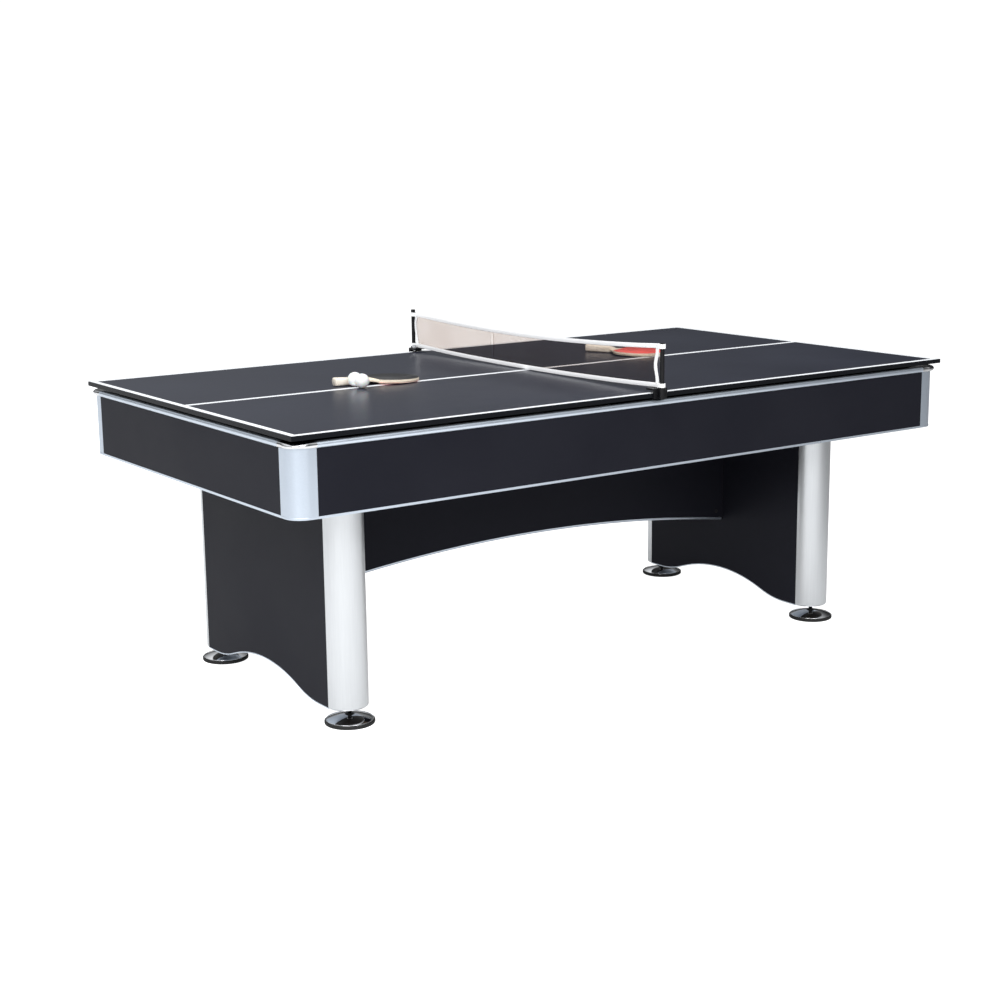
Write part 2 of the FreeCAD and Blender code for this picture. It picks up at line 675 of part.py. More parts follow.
def tennis_top():
    low = TOP_HEIGHT - TOP_THICK
    middle = TOP_HEIGHT - TOP_THICK / 2
    holes = []
    dowels = []
    for y in (-DOWEL_Y, DOWEL_Y):
        start = V(-DOWEL_LENGTH / 2 - 1, y, middle)
        holes.append(Part.makeCylinder(DOWEL_R + DOWEL_CLEAR, DOWEL_LENGTH + 2, start, V(1, 0, 0)))
        dowels.append(Part.makeCylinder(DOWEL_R, DOWEL_LENGTH, V(-DOWEL_LENGTH / 2, y, middle), V(1, 0, 0)))
    half = box(SEAM_GAP / 2, TOP_LENGTH / 2, -TOP_WIDTH / 2, TOP_WIDTH / 2, low, TOP_HEIGHT)
    half = half.cut(holes)
    save("top_half_right", half)
    save("top_half_left", mirror_x(half))
    save("seam_dowels", *dowels)


def top_pads():
    """Foam strips under the top, standing on the rails' wood."""
    low = RAIL_TOP
    high = TOP_HEIGHT - TOP_THICK
    y = CASE_Y - BOARD - PAD_WIDTH - PAD_INSET
    x = CASE_X - BOARD - PAD_WIDTH - PAD_INSET
    pads = []
    for start in LONG_PAD_STARTS:
        pads += four(box(start, start + PAD_LENGTH, y, y + PAD_WIDTH, low, high))
    pads += four(box(x, x + PAD_WIDTH, END_PAD_START, END_PAD_START + PAD_LENGTH, low, high))
    save("top_pads", *pads)


# ---- Net set ----

def net_curve(end_front, middle, end_back, half):
    return Part.Arc(V(0, -half, end_front), V(0, 0, middle), V(0, half, end_back))


def net_outline(inset, half):
    """The net's face: its top edge sags between the posts, its bottom edge almost touches the top."""
    top = net_curve(NET_TOP_FRONT - inset, NET_TOP_MIDDLE - inset, NET_TOP_BACK - inset, half).toShape()
    bottom = net_curve(NET_LOW_END + inset, NET_LOW_MIDDLE + inset, NET_LOW_END + inset, half).toShape()
    sides = []
    for first, second in zip(bottom.Vertexes, top.Vertexes):
        sides.append(Part.makeLine(first.Point, second.Point))
    return Part.Face(Part.Wire(Part.__sortEdges__([top, bottom] + sides)))


def sheet_of(face, thick):
    solid = face.extrude(V(thick, 0, 0))
    solid.translate(V(-thick / 2, 0, 0))
    return solid


def net():
    inner = net_outline(TAPE, NET_HALF - TAPE + 2)
    save("net_mesh", sheet_of(inner, MESH_THICK))
    save("net_binding", sheet_of(net_outline(0, NET_HALF), TAPE_THICK).cut(sheet_of(inner, 3 * TAPE_THICK)))


def net_clamp():
    """The back clamp: a C over the top's edge, with the post's socket outside it."""
    edge = TOP_WIDTH / 2 + 0.8
    inner = TOP_WIDTH / 2 - JAW_DEPTH
    under = TOP_HEIGHT - TOP_THICK - CLAMP_CLEAR
    low = under - CLAMP_LOWER
    arm = CLAMP_TOP - CLAMP_UPPER
    half = CLAMP_HALF
    web = box(-half, half, edge, edge + CLAMP_WEB, low, CLAMP_TOP)
    lower = box(-half, half, inner, edge, low, under)
    upper = box(-half, half, inner, edge, arm, CLAMP_TOP)
    socket = cylinder(0, POST_Y, low, CLAMP_TOP + 3, POST_R + SOCKET_WALL)
    gap = box(-half, half, inner, edge, under, arm)
    clamp = web.fuse([lower, upper, socket]).cut(gap).removeSplitter()
    return clamp.cut([cylinder(0, POST_Y, POST_BOTTOM, CLAMP_TOP + 3, POST_R + 0.05),
                      cylinder(SCREW_X, SCREW_Y, arm, CLAMP_TOP, SCREW_R + 0.06)])


def net_post():
    post = cylinder(0, POST_Y, POST_BOTTOM, POST_TOP, POST_R)
    cap = cylinder(0, POST_Y, POST_TOP - POST_CAP, POST_TOP, POST_R + 1)
    cap = cap.makeFillet(1.5, [e for e in cap.Edges if e.CenterOfMass.z > POST_TOP - 0.1])
    return post.fuse(cap).removeSplitter()


def clamp_screw():
    """A thumbscrew with a notched head, standing on its pad."""
    low = CLAMP_TOP + 2.5
    high = CLAMP_TOP + 10
    shank = cylinder(SCREW_X, SCREW_Y, TOP_HEIGHT + CLAMP_PAD_THICK, low + 3, SCREW_R)
    head = cylinder(SCREW_X, SCREW_Y, low, high, KNOB_R)
    notch_r = 1.3
    ring = KNOB_R + 0.6
    notches = []
    for k in range(KNOB_NOTCHES):
        turn = 2 * math.pi * k / KNOB_NOTCHES
        x = SCREW_X + ring * math.cos(turn)
        y = SCREW_Y + ring * math.sin(turn)
        notches.append(cylinder(x, y, low - 1, high + 1, notch_r))
    return shank.fuse(head).removeSplitter().cut(notches)


def net_set():
    pad = cylinder(SCREW_X, SCREW_Y, TOP_HEIGHT, TOP_HEIGHT + CLAMP_PAD_THICK, CLAMP_PAD_R)
    pieces = (("net_clamp_", net_clamp()),
              ("net_post_", net_post()),
              ("clamp_screw_", clamp_screw()),
              ("clamp_pad_", pad))
    for stem, piece in pieces:
        save(stem + "back", piece)
        turned = piece.copy()
        turned.rotate(V(0, 0, 0), V(0, 0, 1), 180)
        save(stem + "front", turned)
    net()


# ---- Bats and balls ----

def bat(place, heading):
    """A bat lying on the top: it rests on its handle's end and its blade's tip."""
    blade_x = BAT_LENGTH - BLADE_LONG
    ellipse = Part.Ellipse(V(blade_x, 0, -BLADE_THICK / 2), BLADE_LONG, BLADE_WIDE)
    blade = Part.Face(Part.Wire(ellipse.toShape())).extrude(V(0, 0, BLADE_THICK))
    neck_x = HANDLE_LENGTH - 18
    shoulder_x = blade_x - 30
    neck = polygon([V(neck_x, -13, -3), V(shoulder_x, -52, -3), V(shoulder_x, 52, -3), V(neck_x, 13, -3)])
    handle = box(0, HANDLE_LENGTH, -HANDLE_WIDE / 2, HANDLE_WIDE / 2, -HANDLE_THICK / 2, HANDLE_THICK / 2)
    along = [e for e in handle.Edges if abs(e.tangentAt(e.FirstParameter).x) > 0.9]
    handle = handle.makeFillet(HANDLE_ROUND, along)
    solid = blade.fuse([neck.extrude(V(0, 0, 6)), handle]).removeSplitter()
    tilt = math.degrees(math.atan2((HANDLE_THICK - BLADE_THICK) / 2, BAT_LENGTH))
    solid.rotate(V(0, 0, 0), V(0, 1, 0), tilt)
    solid.rotate(V(0, 0, 0), V(0, 0, 1), heading)
    solid.translate(V(place[0], place[1], TOP_HEIGHT + 0.02 - solid.BoundBox.ZMin))
    return solid


def bats_and_balls():
    save("bat_left", bat(LEFT_BAT_PLACE, LEFT_BAT_HEADING))
    save("bat_right", bat(RIGHT_BAT_PLACE, RIGHT_BAT_HEADING))
    for number, (x, y) in enumerate(BALL_PLACES, 1):
        save("ball_" + str(number), Part.makeSphere(BALL_R, V(x, y, TOP_HEIGHT + BALL_R)))


def main():
    os.makedirs("parts", exist_ok=True)
    corner_castings()
    aprons()
    rail_trims()
    cross_beams()
    bed()
    rails()
    cushions()
    corner_pocket_caps()
    side_pocket_caps()
    pocket_cups()
    pedestals()
    stretcher()
    stretcher_brackets()
    frame_bolts()
    levelers()
    tennis_top()
    top_pads()
    net_set()
    bats_and_balls()


main()
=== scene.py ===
import json
import math

import bmesh
import bpy
from mathutils import Matrix, Vector
from mathutils.geometry import tessellate_polygon


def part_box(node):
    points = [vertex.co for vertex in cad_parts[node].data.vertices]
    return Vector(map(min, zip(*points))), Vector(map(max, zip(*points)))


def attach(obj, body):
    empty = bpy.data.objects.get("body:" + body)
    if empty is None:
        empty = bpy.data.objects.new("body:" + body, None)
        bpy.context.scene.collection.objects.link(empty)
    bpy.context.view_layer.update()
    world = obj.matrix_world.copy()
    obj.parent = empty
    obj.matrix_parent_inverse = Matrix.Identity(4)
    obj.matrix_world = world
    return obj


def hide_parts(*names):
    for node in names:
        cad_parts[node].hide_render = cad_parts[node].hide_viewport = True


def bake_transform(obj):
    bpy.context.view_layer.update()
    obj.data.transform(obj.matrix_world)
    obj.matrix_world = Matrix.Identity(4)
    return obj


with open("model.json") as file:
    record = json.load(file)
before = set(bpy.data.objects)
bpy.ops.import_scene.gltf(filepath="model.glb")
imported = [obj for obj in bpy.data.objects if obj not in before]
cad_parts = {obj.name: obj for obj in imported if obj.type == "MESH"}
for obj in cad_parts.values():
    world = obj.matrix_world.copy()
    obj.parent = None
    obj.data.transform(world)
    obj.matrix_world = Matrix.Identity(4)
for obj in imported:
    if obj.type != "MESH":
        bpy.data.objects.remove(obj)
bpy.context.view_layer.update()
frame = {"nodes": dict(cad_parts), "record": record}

# A pool table on two pedestals, with a two-piece table tennis top, a clamp-on net, two bats
# and two balls. Metres. X runs along the table, Y across it, Z up; left is -X, front is -Y.

SIDES = ((-1, "left"), (1, "right"))
ENDS = ((-1, "front"), (1, "back"))
X_AXIS = Vector((1, 0, 0))
Y_AXIS = Vector((0, 1, 0))
Z_AXIS = Vector((0, 0, 1))

# Places read from the frame
TOP_LOW, TOP_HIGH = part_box("top_half_right")
TOP_X = TOP_HIGH.x
TOP_Y = TOP_HIGH.y
TOP_Z = TOP_HIGH.z
APRON_LOW, APRON_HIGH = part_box("apron_back")
APRON_TOP = APRON_HIGH.z
RUN_X = APRON_HIGH.x
CASE_Y = APRON_HIGH.y
CASE_INNER_Y = APRON_LOW.y
RUN_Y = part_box("apron_right")[1].y
CASE_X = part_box("apron_right")[1].x
CASE_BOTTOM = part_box("corner_castings")[0].z
RAIL_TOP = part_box("rail_trims")[1].z
CORNER_R = 0.046
CORNER_X = CASE_X - CORNER_R
CORNER_Y = CASE_Y - CORNER_R
BOARD = CASE_Y - CASE_INNER_Y
TRIM_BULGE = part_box("rail_trims")[1].y - CASE_Y
CAP_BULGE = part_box("corner_pocket_caps")[1].x - CASE_X
BED_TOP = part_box("bed_cloth")[1].z
STRIP_LOW, STRIP_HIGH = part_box("stretcher_edge_strip")
FOOT_LOW, FOOT_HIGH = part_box("leveler_pad_right_back")
FOOT_X = (FOOT_LOW.x + FOOT_HIGH.x) / 2
FOOT_Y = (FOOT_LOW.y + FOOT_HIGH.y) / 2
FOOT_R = (FOOT_HIGH.x - FOOT_LOW.x) / 2
PAD_TOP = FOOT_HIGH.z
STEM_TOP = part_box("leveler_right_back")[1].z
POST_LOW, POST_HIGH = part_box("net_post_back")
POST_Y = (POST_LOW.y + POST_HIGH.y) / 2

# Casing
LIP_PROUD = 0.0008
STRIP = 0.006
CASTING_STEPS = 28
CAP_STEPS = 24
CAP_EDGE = 0.003

# Pockets
CORNER_POCKET_R = 0.058
CORNER_POCKET = Vector((CASE_X - 0.088, CASE_Y - 0.088))
SIDE_POCKET_R = 0.052
SIDE_POCKET = Vector((0, CASE_Y - 0.075))
CAP_LEG = 0.012

# Rails and cushions
RAIL_WIDTH = 0.102
CUSHION_DEPTH = 0.038
NOSE_HEIGHT = 0.036
CORNER_MOUTH = 0.082
SIDE_MOUTH = 0.064
CORNER_FACING = math.radians(38)
SIDE_FACING = math.radians(76)
CUSHION_TOE = 0.007
CLOTH_GAP = 0.001
CLOTH_THICK = 0.0008

# Lines painted on the top
EDGE_LINE = 0.020
EDGE_MARGIN = 0.003
CENTRE_LINE = 0.018
PAINT = 0.00012

# Net
TAPE_FRONT = 0.935
TAPE_MIDDLE = 0.912
TAPE_BACK = 0.928
LOW_TAPE_MIDDLE = 0.8195
LOW_TAPE_RISE = 0.011
MESH_LOW = 0.823
MESH_HIGH = 0.915
LOOP_THICK = 0.0012
TAPE = 0.012
TAPE_THICK = 0.0024
THREAD = 0.0005
THREAD_PITCH = 0.0026
NET_SIDE = 0.592
NET_BOW_START = 0.50

# Bats and balls
BAT_LENGTH = 0.258
BLADE_LONG = 0.079
BLADE_WIDE = 0.075
PLY = 0.006
RUBBER = 0.002
HANDLE_WIDE = 0.028
HANDLE_THICK = 0.023
BAT_PLACES = {"bat_left": (-0.612, 0.058, -3.0), "bat_right": (0.412, 0.237, -66.0)}
BALL_R = 0.020
SEAM = 0.00006

# Levelers
PAD_EDGE = 0.0032
DISH_LIFT = 0.0001
DISH_BEAD = 0.0009
DISH_R = 0.0625
DISH_RIM = 0.001
DISH_MIDDLE = 0.0185
DISH_TOP = 0.023
DISH_TOP_R = 0.014
STEM_R = 0.006
COLLAR_R = 0.0128
THREAD_STEP = 0.00175
THREAD_DEPTH = 0.0009

# Studio: tones of the floor and light it gives, each at its left and its right end
FLOOR_REACH = 60.0
FLOOR_ENDS = (0.3, 2.6)
FLOOR_TONES = (0.62, 0.20)
FLOOR_LIGHT = (0.28, 0.12)
FLOOR_GLOW = 1.0
SKY_GLOW = 1.05
SUN = 1.35
KEY = 94
FRONT = 66

# Camera
CAMERA_PLACE = (-2.986383, -4.103702, 1.480305)
CAMERA_AZIMUTH = -35.135
CAMERA_ELEVATION = 11.773
CAMERA_ROLL = math.radians(-0.641)
CAMERA_LENS = 62.788


# ---- Materials ----

def new_material(name, base, rough, metal=0.0, specular=0.5):
    made = bpy.data.materials.new(name)
    made.use_nodes = True
    surface = made.node_tree.nodes["Principled BSDF"]
    surface.inputs["Base Color"].default_value = (*base, 1)
    surface.inputs["Roughness"].default_value = rough
    surface.inputs["Metallic"].default_value = metal
    surface.inputs["Specular IOR Level"].default_value = specular
    return made, made.node_tree, surface


def node(tree, kind, **values):
    """A new node. Values that name one of its inputs set that input, the others its settings."""
    made = tree.nodes.new(kind)
    for key, value in values.items():
        if key in made.inputs:
            if isinstance(value, bpy.types.NodeSocket):
                tree.links.new(value, made.inputs[key])
            else:
                made.inputs[key].default_value = value
        else:
            setattr(made, key, value)
    return made


def place_of(tree, stretch=(1, 1, 1)):
    """The point on the piece, in metres, stretched by a factor on each axis."""
    coords = node(tree, "ShaderNodeTexCoord")
    return node(tree, "ShaderNodeMapping", Vector=coords.outputs["Object"], Scale=stretch).outputs[0]


def noise(tree, place, scale, detail=3.0, rough=0.55):
    made = node(tree, "ShaderNodeTexNoise", Vector=place, Scale=scale, Detail=detail, Roughness=rough)
    return made.outputs["Fac"]


def spread(tree, value, low, high, start=0.3, end=0.7):
    """value, taken from start..end to low..high."""
    made = node(tree, "ShaderNodeMapRange", Value=value)
    made.inputs["From Min"].default_value = start
    made.inputs["From Max"].default_value = end
    made.inputs["To Min"].default_value = low
    made.inputs["To Max"].default_value = high
    return made.outputs[0]


def upward(tree):
    """How far the surface faces up: 1 on top, 0 on a wall, -1 underneath."""
    normal = node(tree, "ShaderNodeNewGeometry").outputs["True Normal"]
    return node(tree, "ShaderNodeSeparateXYZ", Vector=normal).outputs["Z"]


def blend_colours(tree, factor, first, second):
    made = node(tree, "ShaderNodeMix", data_type="RGBA")
    if isinstance(factor, bpy.types.NodeSocket):
        tree.links.new(factor, made.inputs[0])
    else:
        made.inputs[0].default_value = factor
    for socket, colour in ((made.inputs[6], first), (made.inputs[7], second)):
        if isinstance(colour, bpy.types.NodeSocket):
            tree.links.new(colour, socket)
        else:
            socket.default_value = (*colour, 1)
    return made.outputs[2]


def add_bump(tree, surface, height, strength, distance):
    """Adds a bump over whatever bump the surface has."""
    made = node(tree, "ShaderNodeBump", Height=height, Strength=strength, Distance=distance)
    normal = surface.inputs["Normal"]
    if normal.is_linked:
        tree.links.new(normal.links[0].from_socket, made.inputs["Normal"])
    tree.links.new(made.outputs[0], normal)


def finish_surface(tree, surface, dark, light, rough, cloud=6.0):
    """Cloudy colour and roughness, such as handling and dust leave."""
    clouds = noise(tree, place_of(tree), cloud, 5.0)
    colour = blend_colours(tree, spread(tree, clouds, 0, 1), dark, light)
    tree.links.new(colour, surface.inputs["Base Color"])
    tree.links.new(spread(tree, clouds, *rough), surface.inputs["Roughness"])


def laminate():
    """Black melamine with a fine pebble, a little dusty."""
    made, tree, surface = new_material("black_melamine", (0.011, 0.011, 0.016), 0.42, specular=0.085)
    surface.inputs["Specular Tint"].default_value = (0.85, 0.88, 1.0, 1)
    finish_surface(tree, surface, (0.0100, 0.0103, 0.0150), (0.0125, 0.0128, 0.0180), (0.40, 0.50), 3.0)
    add_bump(tree, surface, noise(tree, place_of(tree), 1100, 2.0), 0.12, 0.0002)
    return made


def top_paint():
    """Satin blue-grey paint over fibreboard, with black edges."""
    made, tree, surface = new_material("top_paint", (0.018, 0.019, 0.026), 0.3, specular=0.45)
    clouds = noise(tree, place_of(tree), 2.2, 6.0)
    cloudy = spread(tree, clouds, 0, 1)
    face = blend_colours(tree, cloudy, (0.0130, 0.0150, 0.0280), (0.0155, 0.0178, 0.0325))
    is_face = spread(tree, upward(tree), 0, 1, 0.5, 0.6)
    tree.links.new(spread(tree, is_face, 0.10, 0.48, 0, 1), surface.inputs["Specular IOR Level"])
    surface.inputs["Specular Tint"].default_value = (0.79, 0.86, 1.0, 1)
    colour = blend_colours(tree, is_face, (0.006, 0.0065, 0.008), face)
    tree.links.new(colour, surface.inputs["Base Color"])
    tree.links.new(spread(tree, clouds, 0.27, 0.34), surface.inputs["Roughness"])
    add_bump(tree, surface, noise(tree, place_of(tree), 700, 3.0), 0.04, 0.0002)
    return made


def line_paint():
    made, tree, surface = new_material("line_paint", (0.86, 0.88, 0.90), 0.5, specular=0.3)
    specks = noise(tree, place_of(tree), 420, 4.0)
    worn = spread(tree, specks, 1, 0, 0.66, 0.74)
    colour = blend_colours(tree, worn, (0.50, 0.52, 0.55), (0.88, 0.90, 0.92))
    tree.links.new(colour, surface.inputs["Base Color"])
    add_bump(tree, surface, specks, 0.08, 0.0001)
    return made


def silver(name, tone, rough, metal, stretch):
    """Silver foil or lacquer, with a grain drawn out along one axis."""
    made, tree, surface = new_material(name, tone, rough, metal)
    grain = noise(tree, place_of(tree, stretch), 240, 4.0, 0.6)
    dark = [0.955 * part for part in tone]
    tree.links.new(blend_colours(tree, spread(tree, grain, 0, 1), dark, tone), surface.inputs["Base Color"])
    smudge = noise(tree, place_of(tree), 9, 4.0)
    tree.links.new(spread(tree, smudge, rough - 0.03, rough + 0.05), surface.inputs["Roughness"])
    add_bump(tree, surface, grain, 0.06, 0.0001)
    return made


def column_foil():
    """Silver foil round the column, with painted shade on its underside: faces that point down are made
    near-black and dull.
    """
    made = silver("column_foil", (0.70, 0.72, 0.74), 0.30, 0.85, (1, 1, 0.04))
    tree = made.node_tree
    surface = tree.nodes["Principled BSDF"]
    # painted shade: faces that point down are made near-black and not metallic
    under = spread(tree, upward(tree), 1, 0, -0.9, -0.8)
    foil = surface.inputs["Base Color"].links[0].from_socket
    tree.links.new(blend_colours(tree, under, foil, (0.02, 0.018, 0.016)), surface.inputs["Base Color"])
    tree.links.new(spread(tree, under, 0.85, 0, 0, 1), surface.inputs["Metallic"])
    return made


def chrome():
    made, tree, surface = new_material("bright_chrome", (0.86, 0.87, 0.89), 0.06, 1.0)
    smudge = noise(tree, place_of(tree), 55, 5.0)
    tree.links.new(spread(tree, smudge, 0.035, 0.11, 0.35, 0.75), surface.inputs["Roughness"])
    tint = blend_colours(tree, spread(tree, smudge, 0, 1), (0.76, 0.77, 0.79), (0.83, 0.83, 0.84))
    tree.links.new(tint, surface.inputs["Base Color"])
    add_bump(tree, surface, noise(tree, place_of(tree), 60, 2.0), 0.04, 0.0006)
    return made


def plastic(name, tone, rough, pebble):
    """Moulded plastic or rubber with a spark-eroded texture of that many pebbles a metre."""
    made, tree, surface = new_material(name, tone, rough, specular=0.35)
    light = [1.35 * part for part in tone]
    finish_surface(tree, surface, tone, light, (rough - 0.04, rough + 0.08), 14.0)
    add_bump(tree, surface, noise(tree, place_of(tree), pebble, 2.0), 0.25, 0.0002)
    return made


def powder_coat():
    made, tree, surface = new_material("powder_coat", (0.005, 0.005, 0.006), 0.38, specular=0.22)
    finish_surface(tree, surface, (0.004, 0.004, 0.005), (0.007, 0.007, 0.008), (0.33, 0.45), 40.0)
    add_bump(tree, surface, noise(tree, place_of(tree), 1500, 2.0), 0.3, 0.0002)
    return made


def zinc():
    """Zinc plate: a spangle of small tilted grains, slightly yellow."""
    made, tree, surface = new_material("zinc_plate", (0.62, 0.61, 0.57), 0.34, 1.0)
    grains = node(tree, "ShaderNodeTexVoronoi", Vector=place_of(tree), Scale=350)
    colour = blend_colours(tree, grains.outputs["Color"], (0.52, 0.52, 0.50), (0.70, 0.69, 0.64))
    tree.links.new(colour, surface.inputs["Base Color"])
    tree.links.new(spread(tree, grains.outputs["Distance"], 0.28, 0.45, 0, 1), surface.inputs["Roughness"])
    return made


def wood(name, dark, light, stretch, rough):
    """Grain drawn out along the axis with the smallest stretch, with fine pores."""
    made, tree, surface = new_material(name, light, rough, specular=0.3)
    rings = noise(tree, place_of(tree, stretch), 9, 6.0, 0.6)
    pores = noise(tree, place_of(tree, [8 * part for part in stretch]), 22, 4.0, 0.6)
    both = node(tree, "ShaderNodeMath", operation="MULTIPLY_ADD")
    tree.links.new(pores, both.inputs[0])
    both.inputs[1].default_value = 0.4
    tree.links.new(rings, both.inputs[2])
    colour = blend_colours(tree, spread(tree, both.outputs[0], 0, 1, 0.5, 0.95), dark, light)
    tree.links.new(colour, surface.inputs["Base Color"])
    add_bump(tree, surface, pores, 0.2, 0.0002)
    return made


def weave(name, tone, threads, height, fuzz, stretch=(1, 1, 1)):
    """Plain weave: two crossed sets of threads, that many a metre, with a loose nap over them, and painted
    shade darkening the gaps between the threads.
    """
    made, tree, surface = new_material(name, tone, 0.85, specular=0.2)
    surface.inputs["Sheen Weight"].default_value = fuzz
    surface.inputs["Sheen Roughness"].default_value = 0.5
    place = place_of(tree, stretch)
    heights = []
    for axis in ("X", "Y"):
        band = node(tree, "ShaderNodeTexWave", Vector=place, Scale=threads / 20, bands_direction=axis)
        band.inputs["Distortion"].default_value = 0.6
        heights.append(band.outputs["Fac"])
    crossed = node(tree, "ShaderNodeMath", operation="MAXIMUM")
    tree.links.new(heights[0], crossed.inputs[0])
    tree.links.new(heights[1], crossed.inputs[1])
    nap = noise(tree, place_of(tree), 30, 6.0)
    deep = [0.80 * part for part in tone]
    colour = blend_colours(tree, spread(tree, nap, 0, 1), deep, tone)
    # painted shade: the gaps between the threads are darkened to 0.55 of the cloth's tone
    between = [0.55 * part for part in tone]
    colour = blend_colours(tree, spread(tree, crossed.outputs[0], 0, 1, 0.2, 0.9), between, colour)
    tree.links.new(colour, surface.inputs["Base Color"])
    add_bump(tree, surface, crossed.outputs[0], 0.5, height)
    add_bump(tree, surface, noise(tree, place_of(tree), 900, 3.0), 0.3, height)
    return made


def tape_cloth():
    """White woven tape, a fine rib across it, hardly soiled."""
    made, tree, surface = new_material("tape_cloth", (0.96, 0.96, 0.96), 0.8, specular=0.2)
    surface.inputs["Sheen Weight"].default_value = 0.8
    surface.inputs["Sheen Roughness"].default_value = 0.6
    ribs = node(tree, "ShaderNodeTexWave", Vector=place_of(tree), Scale=70, bands_direction="Y")
    soil = noise(tree, place_of(tree), 24, 4.0)
    colour = blend_colours(tree, spread(tree, soil, 0, 1), (0.97, 0.97, 0.97), (0.99, 0.99, 0.99))
    tree.links.new(colour, surface.inputs["Base Color"])
    add_bump(tree, surface, ribs.outputs["Fac"], 0.15, 0.0001)
    return made


def net_thread():
    """Fine dark monofilament that lets some light through."""
    made, tree, surface = new_material("net_thread", (0.035, 0.028, 0.03), 0.5, specular=0.2)
    shade = noise(tree, place_of(tree), 80, 3.0)
    colour = blend_colours(tree, spread(tree, shade, 0, 1), (0.018, 0.019, 0.028), (0.028, 0.030, 0.042))
    tree.links.new(colour, surface.inputs["Base Color"])
    clear = node(tree, "ShaderNodeBsdfTransparent", Color=(0.90, 0.76, 0.67, 1))
    mix = node(tree, "ShaderNodeMixShader", Fac=0.34)
    tree.links.new(clear.outputs[0], mix.inputs[1])
    tree.links.new(surface.outputs[0], mix.inputs[2])
    tree.links.new(mix.outputs[0], tree.nodes["Material Output"].inputs["Surface"])
    return made


def bat_rubber(name, tone, gloss):
    made, tree, surface = new_material(name, tone, gloss, specular=0.45)
    finish_surface(tree, surface, [0.85 * part for part in tone], tone, (gloss - 0.05, gloss + 0.1), 30.0)
    add_bump(tree, surface, noise(tree, place_of(tree), 900, 2.0), 0.1, 0.0001)
    return made


def ply_edge():
    """Five plies: thin darker glue lines between pale veneers, by height in the blade."""
    made, tree, surface = new_material("ply_edge", (0.72, 0.58, 0.40), 0.55, specular=0.3)
    layers = node(tree, "ShaderNodeTexWave", Vector=place_of(tree), Scale=260, bands_direction="Z")
    lines = spread(tree, layers.outputs["Fac"], 0, 1, 0.05, 0.3)
    colour = blend_colours(tree, lines, (0.50, 0.37, 0.24), (0.88, 0.80, 0.66))
    grain = noise(tree, place_of(tree, (6, 90, 90)), 9, 4.0)
    colour = blend_colours(tree, spread(tree, grain, 0, 0.25), colour, (0.74, 0.62, 0.46))
    tree.links.new(colour, surface.inputs["Base Color"])
    return made


def ball_plastic():
    made, tree, surface = new_material("ball_plastic", (0.90, 0.90, 0.88), 0.42, specular=0.4)
    surface.inputs["Subsurface Weight"].default_value = 0.15
    surface.inputs["Subsurface Scale"].default_value = 0.004
    finish_surface(tree, surface, (0.86, 0.86, 0.84), (0.93, 0.93, 0.91), (0.38, 0.5), 60.0)
    add_bump(tree, surface, noise(tree, place_of(tree), 2500, 2.0), 0.05, 0.0001)
    return made


MATERIALS = {
    "black_laminate": laminate(),
    "tennis_top": top_paint(),
    "silver_profile": column_foil(),
    "silver_trim": silver("trim_lacquer", (0.66, 0.73, 0.82), 0.30, 0.85, (0.04, 0.04, 1)),
    "silver_casting": silver("casting_lacquer", (0.57, 0.635, 0.72), 0.30, 0.85, (1, 1, 1)),
    "chrome": chrome(),
    "black_plastic": plastic("moulded_black", (0.012, 0.012, 0.013), 0.42, 900),
    "pad_rubber": plastic("black_rubber", (0.010, 0.010, 0.010), 0.6, 600),
    "foam": plastic("black_foam", (0.02, 0.02, 0.021), 0.9, 450),
    "black_steel": powder_coat(),
    "zinc_steel": zinc(),
    "raw_board": wood("bare_board", (0.085, 0.062, 0.042), (0.15, 0.11, 0.075), (1, 9, 9), 0.75),
    "bed_cloth": weave("billiard_cloth", (0.012, 0.075, 0.26), 1600, 0.0002, 0.35),
    "net_tape": tape_cloth(),
    "net_thread": net_thread(),
    "line_paint": line_paint(),
    "bat_wood": wood("handle_wood", (0.76, 0.67, 0.54), (0.93, 0.88, 0.79), (2, 30, 30), 0.45),
    "ply": ply_edge(),
    "red_rubber": bat_rubber("red_rubber", (1.0, 0.13, 0.11), 0.42),
    "dark_rubber": bat_rubber("dark_rubber", (0.016, 0.016, 0.018), 0.35),
    "sponge": plastic("pale_sponge", (0.66, 0.60, 0.50), 0.8, 1400),
    "ball_white": ball_plastic(),
}

CAD_MATERIALS = {
    "cushion_rubber": "bed_cloth",
    "net_mesh": "net_thread",
}


def repaint_frame():
    """Every CAD node gets the material of its slot in the record."""
    for part in frame["record"]["subparts"]:
        slot = part["material_slot"]
        found = frame["nodes"][part["node"]]
        for place in found.material_slots:
            place.material = MATERIALS[CAD_MATERIALS.get(slot, slot)]
    frame["nodes"]["corner_castings"].material_slots[0].material = MATERIALS["silver_casting"]


# ---- Mesh making ----

def make_object(name, bm, sharp_degrees=35):
    """The bmesh as an object at the origin, smooth but for edges sharper than the angle."""
    bmesh.ops.remove_doubles(bm, verts=bm.verts, dist=1e-7)
    bmesh.ops.dissolve_degenerate(bm, edges=bm.edges, dist=1e-7)
    bmesh.ops.recalc_face_normals(bm, faces=bm.faces)
    mesh = bpy.data.meshes.new(name)
    bm.to_mesh(mesh)
    bm.free()
    mesh.shade_smooth()
    mesh.set_sharp_from_angle(angle=math.radians(sharp_degrees))
    made = bpy.data.objects.new(name, mesh)
    bpy.context.scene.collection.objects.link(made)
    return made


def add_loft(bm, rings, round_trip=False):
    """Faces between neighbouring rings of points. The ends are closed, unless the rings come back
    round to the first."""
    made = [[bm.verts.new(point) for point in ring] for ring in rings]
    count = len(rings[0])
    pairs = list(zip(made, made[1:]))
    if round_trip:
        pairs.append((made[-1], made[0]))
    for first, second in pairs:
        for k in range(count):
            after = (k + 1) % count
            bm.faces.new((first[k], first[after], second[after], second[k]))
    if not round_trip:
        bm.faces.new(made[0])
        bm.faces.new(made[-1])


def loft(name, rings, round_trip=False, sharp_degrees=35):
    bm = bmesh.new()
    add_loft(bm, rings, round_trip)
    return make_object(name, bm, sharp_degrees)


